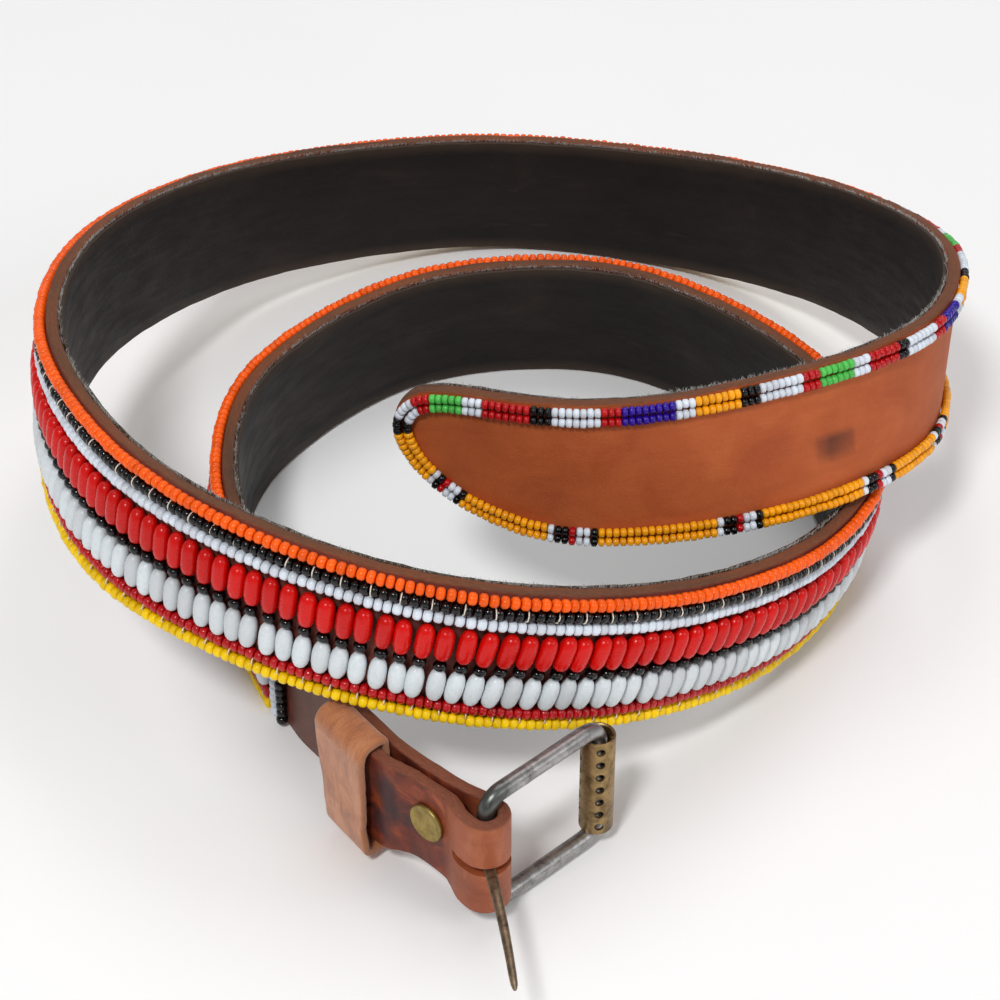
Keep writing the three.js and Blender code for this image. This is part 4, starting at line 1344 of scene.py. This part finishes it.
def make_roller():
    """A thin brass tube with slightly rolled ends, pierced by columns of round holes."""
    half = roller_length / 2
    outer = roller_diameter / 2
    bore = outer - roller_wall
    rounding = 0.25
    profile = [
        (-half + rounding, outer),
        (half - rounding, outer),
        (half - 0.05, outer - 0.08),
        (half, outer - rounding),
        (half, bore + rounding),
        (half - rounding, bore),
        (-half + rounding, bore),
        (-half, bore + rounding),
        (-half, outer - rounding),
        (-half + 0.05, outer - 0.08),
    ]
    sides = 56
    turns = 2 * math.pi * np.arange(sides) / sides
    rings = [
        (radius * math.cos(turn), radius * math.sin(turn), height)
        for turn in turns
        for height, radius in profile
    ]
    points = np.array(rings) + roller_at
    faces = [ring_faces(sides, len(profile), closed=True)]
    piece = add_piece("roller_brass", points, faces, roller_brass, body="roller")
    face_out_of(piece)
    hole = roller_hole_diameter / 2
    drill_profile = [(bore - 1.2, 0), (bore - 1.2, hole), (outer + 1, hole), (outer + 1, 0)]
    shape = turned_shape(drill_profile, 18)
    columns = np.arange(roller_hole_columns) * 360 / roller_hole_columns + roller_hole_turn - 90
    heights = (np.arange(roller_hole_rows) - (roller_hole_rows - 1) / 2) * roller_hole_pitch
    turn, height = (values.ravel() for values in np.meshgrid(np.radians(columns), heights))
    axis = np.column_stack((np.cos(turn), np.sin(turn), np.zeros(len(turn))))
    centre = roller_at + height[:, None] * upright
    out = np.broadcast_to(upright, axis.shape)
    ones = np.ones((len(turn), 3))
    drill_points, drill_faces = scatter(shape, centre, axis, out, ones, np.zeros(len(turn)))
    drills = add_piece("drills", drill_points, drill_faces, roller_brass, body=None)
    join_with(piece, drills, "DIFFERENCE")
    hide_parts("roller")


def make_prong():
    """An eye round the bar and a tapering, slightly flattened shank."""
    heading = math.radians(prong_heading)
    forward = np.array((math.cos(heading), math.sin(heading), 0.0))
    sideways = np.cross(upright, forward)
    middle_radius = (prong_ring_inner + prong_ring_outer) / 2
    half_wall = (prong_ring_outer - prong_ring_inner) / 2
    half_thick = prong_thickness / 2
    rows = 40
    turns = 2 * math.pi * np.arange(rows) / rows
    around = 2 * math.pi * np.arange(12) / 12
    ring_radius = middle_radius + half_wall * np.sign(np.cos(around)) * np.abs(np.cos(around)) ** 0.7
    ring_height = half_thick * np.sign(np.sin(around)) * np.abs(np.sin(around)) ** 0.7
    points = np.array([
        bar + r * (math.cos(turn) * forward + math.sin(turn) * sideways) + h * upright
        for turn in turns
        for r, h in zip(ring_radius, ring_height)
    ])
    piece = add_piece("prong_steel", points, [ring_faces(rows, 12, closed=True)], prong_steel, body="prong")
    face_out_of(piece)
    stations = (prong_ring_inner + 0.35, 5, 8, 14, 22, 30, 36, 38.6, 39.6, prong_length)
    shares = np.array(stations) / prong_length
    taper_shares, taper_widths, taper_thicks = zip(*prong_taper)
    widths = np.interp(shares, taper_shares, taper_widths) / 2
    thicks = np.interp(shares, taper_shares, taper_thicks) / 2
    shank = []
    sides = 14
    for share, width, thick in zip(shares, widths, thicks):
        for k in range(sides):
            turn = 2 * math.pi * k / sides
            place = share * prong_length * forward + prong_bow * math.sin(math.pi * share) * sideways
            shank.append(bar + place + width * math.cos(turn) * sideways + thick * math.sin(turn) * upright)
    faces = [ring_faces(len(shares), sides), *end_faces(len(shares), sides)]
    tool = add_piece("shank", np.array(shank), faces, prong_steel, body=None)
    face_out_of(tool)
    join_with(piece, tool, "UNION")
    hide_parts("prong")


# Floor, lights and background

def make_floor():
    half = 6000.0
    corners = np.array([(-half, -half, 0), (half, -half, 0), (half, half, 0), (-half, half, 0)])
    look, tree, shader = new_look("floor", roughness=0.75)
    place = object_place(tree)
    cloud = noise(tree, place, 3.0, 3)
    colour = ramp(tree, cloud, [(0.3, (246, 246, 246)), (0.7, (250, 250, 250))])
    wire_up(tree, shader, colour=colour)
    floor = add_piece("floor", corners, [np.array([[0, 1, 2, 3]])], look, body=None)


def add_light(name, place, target, size, power):
    data = bpy.data.lights.new(name, "AREA")
    data.shape = "DISK"
    data.size = size
    data.energy = power
    light = bpy.data.objects.new(name, data)
    light.location = place
    light.rotation_euler = (Vector(target) - Vector(place)).to_track_quat("-Z", "Y").to_euler()
    bpy.context.scene.collection.objects.link(light)


def light_scene():
    middle = (0, 0, 0.03)
    add_light("key", (-0.5, -1.4, 1.85), middle, 0.4, 26)
    add_light("fill", (1.8, -1.0, 1.3), middle, 1.3, 11)
    add_light("top", (0.15, 0.9, 2.2), middle, 1.6, 15)
    world = bpy.data.worlds.new("studio")
    world.use_nodes = True
    background = world.node_tree.nodes["Background"]
    background.inputs["Color"].default_value = (1, 1, 1, 1)
    background.inputs["Strength"].default_value = 0.36
    bpy.context.scene.world = world
    bpy.context.scene.view_settings.view_transform = "Standard"


make_strap()
make_lining()
make_fuzz()
make_seed_rows()
make_strings()
make_start_bars()
make_border("tip_border_outer", 1.35, 180)
make_border("tip_border_inner", 3.95, 181)
make_stitches()
make_keeper()
make_rivet()
make_frame()
make_roller()
make_prong()
make_floor()
light_scene()
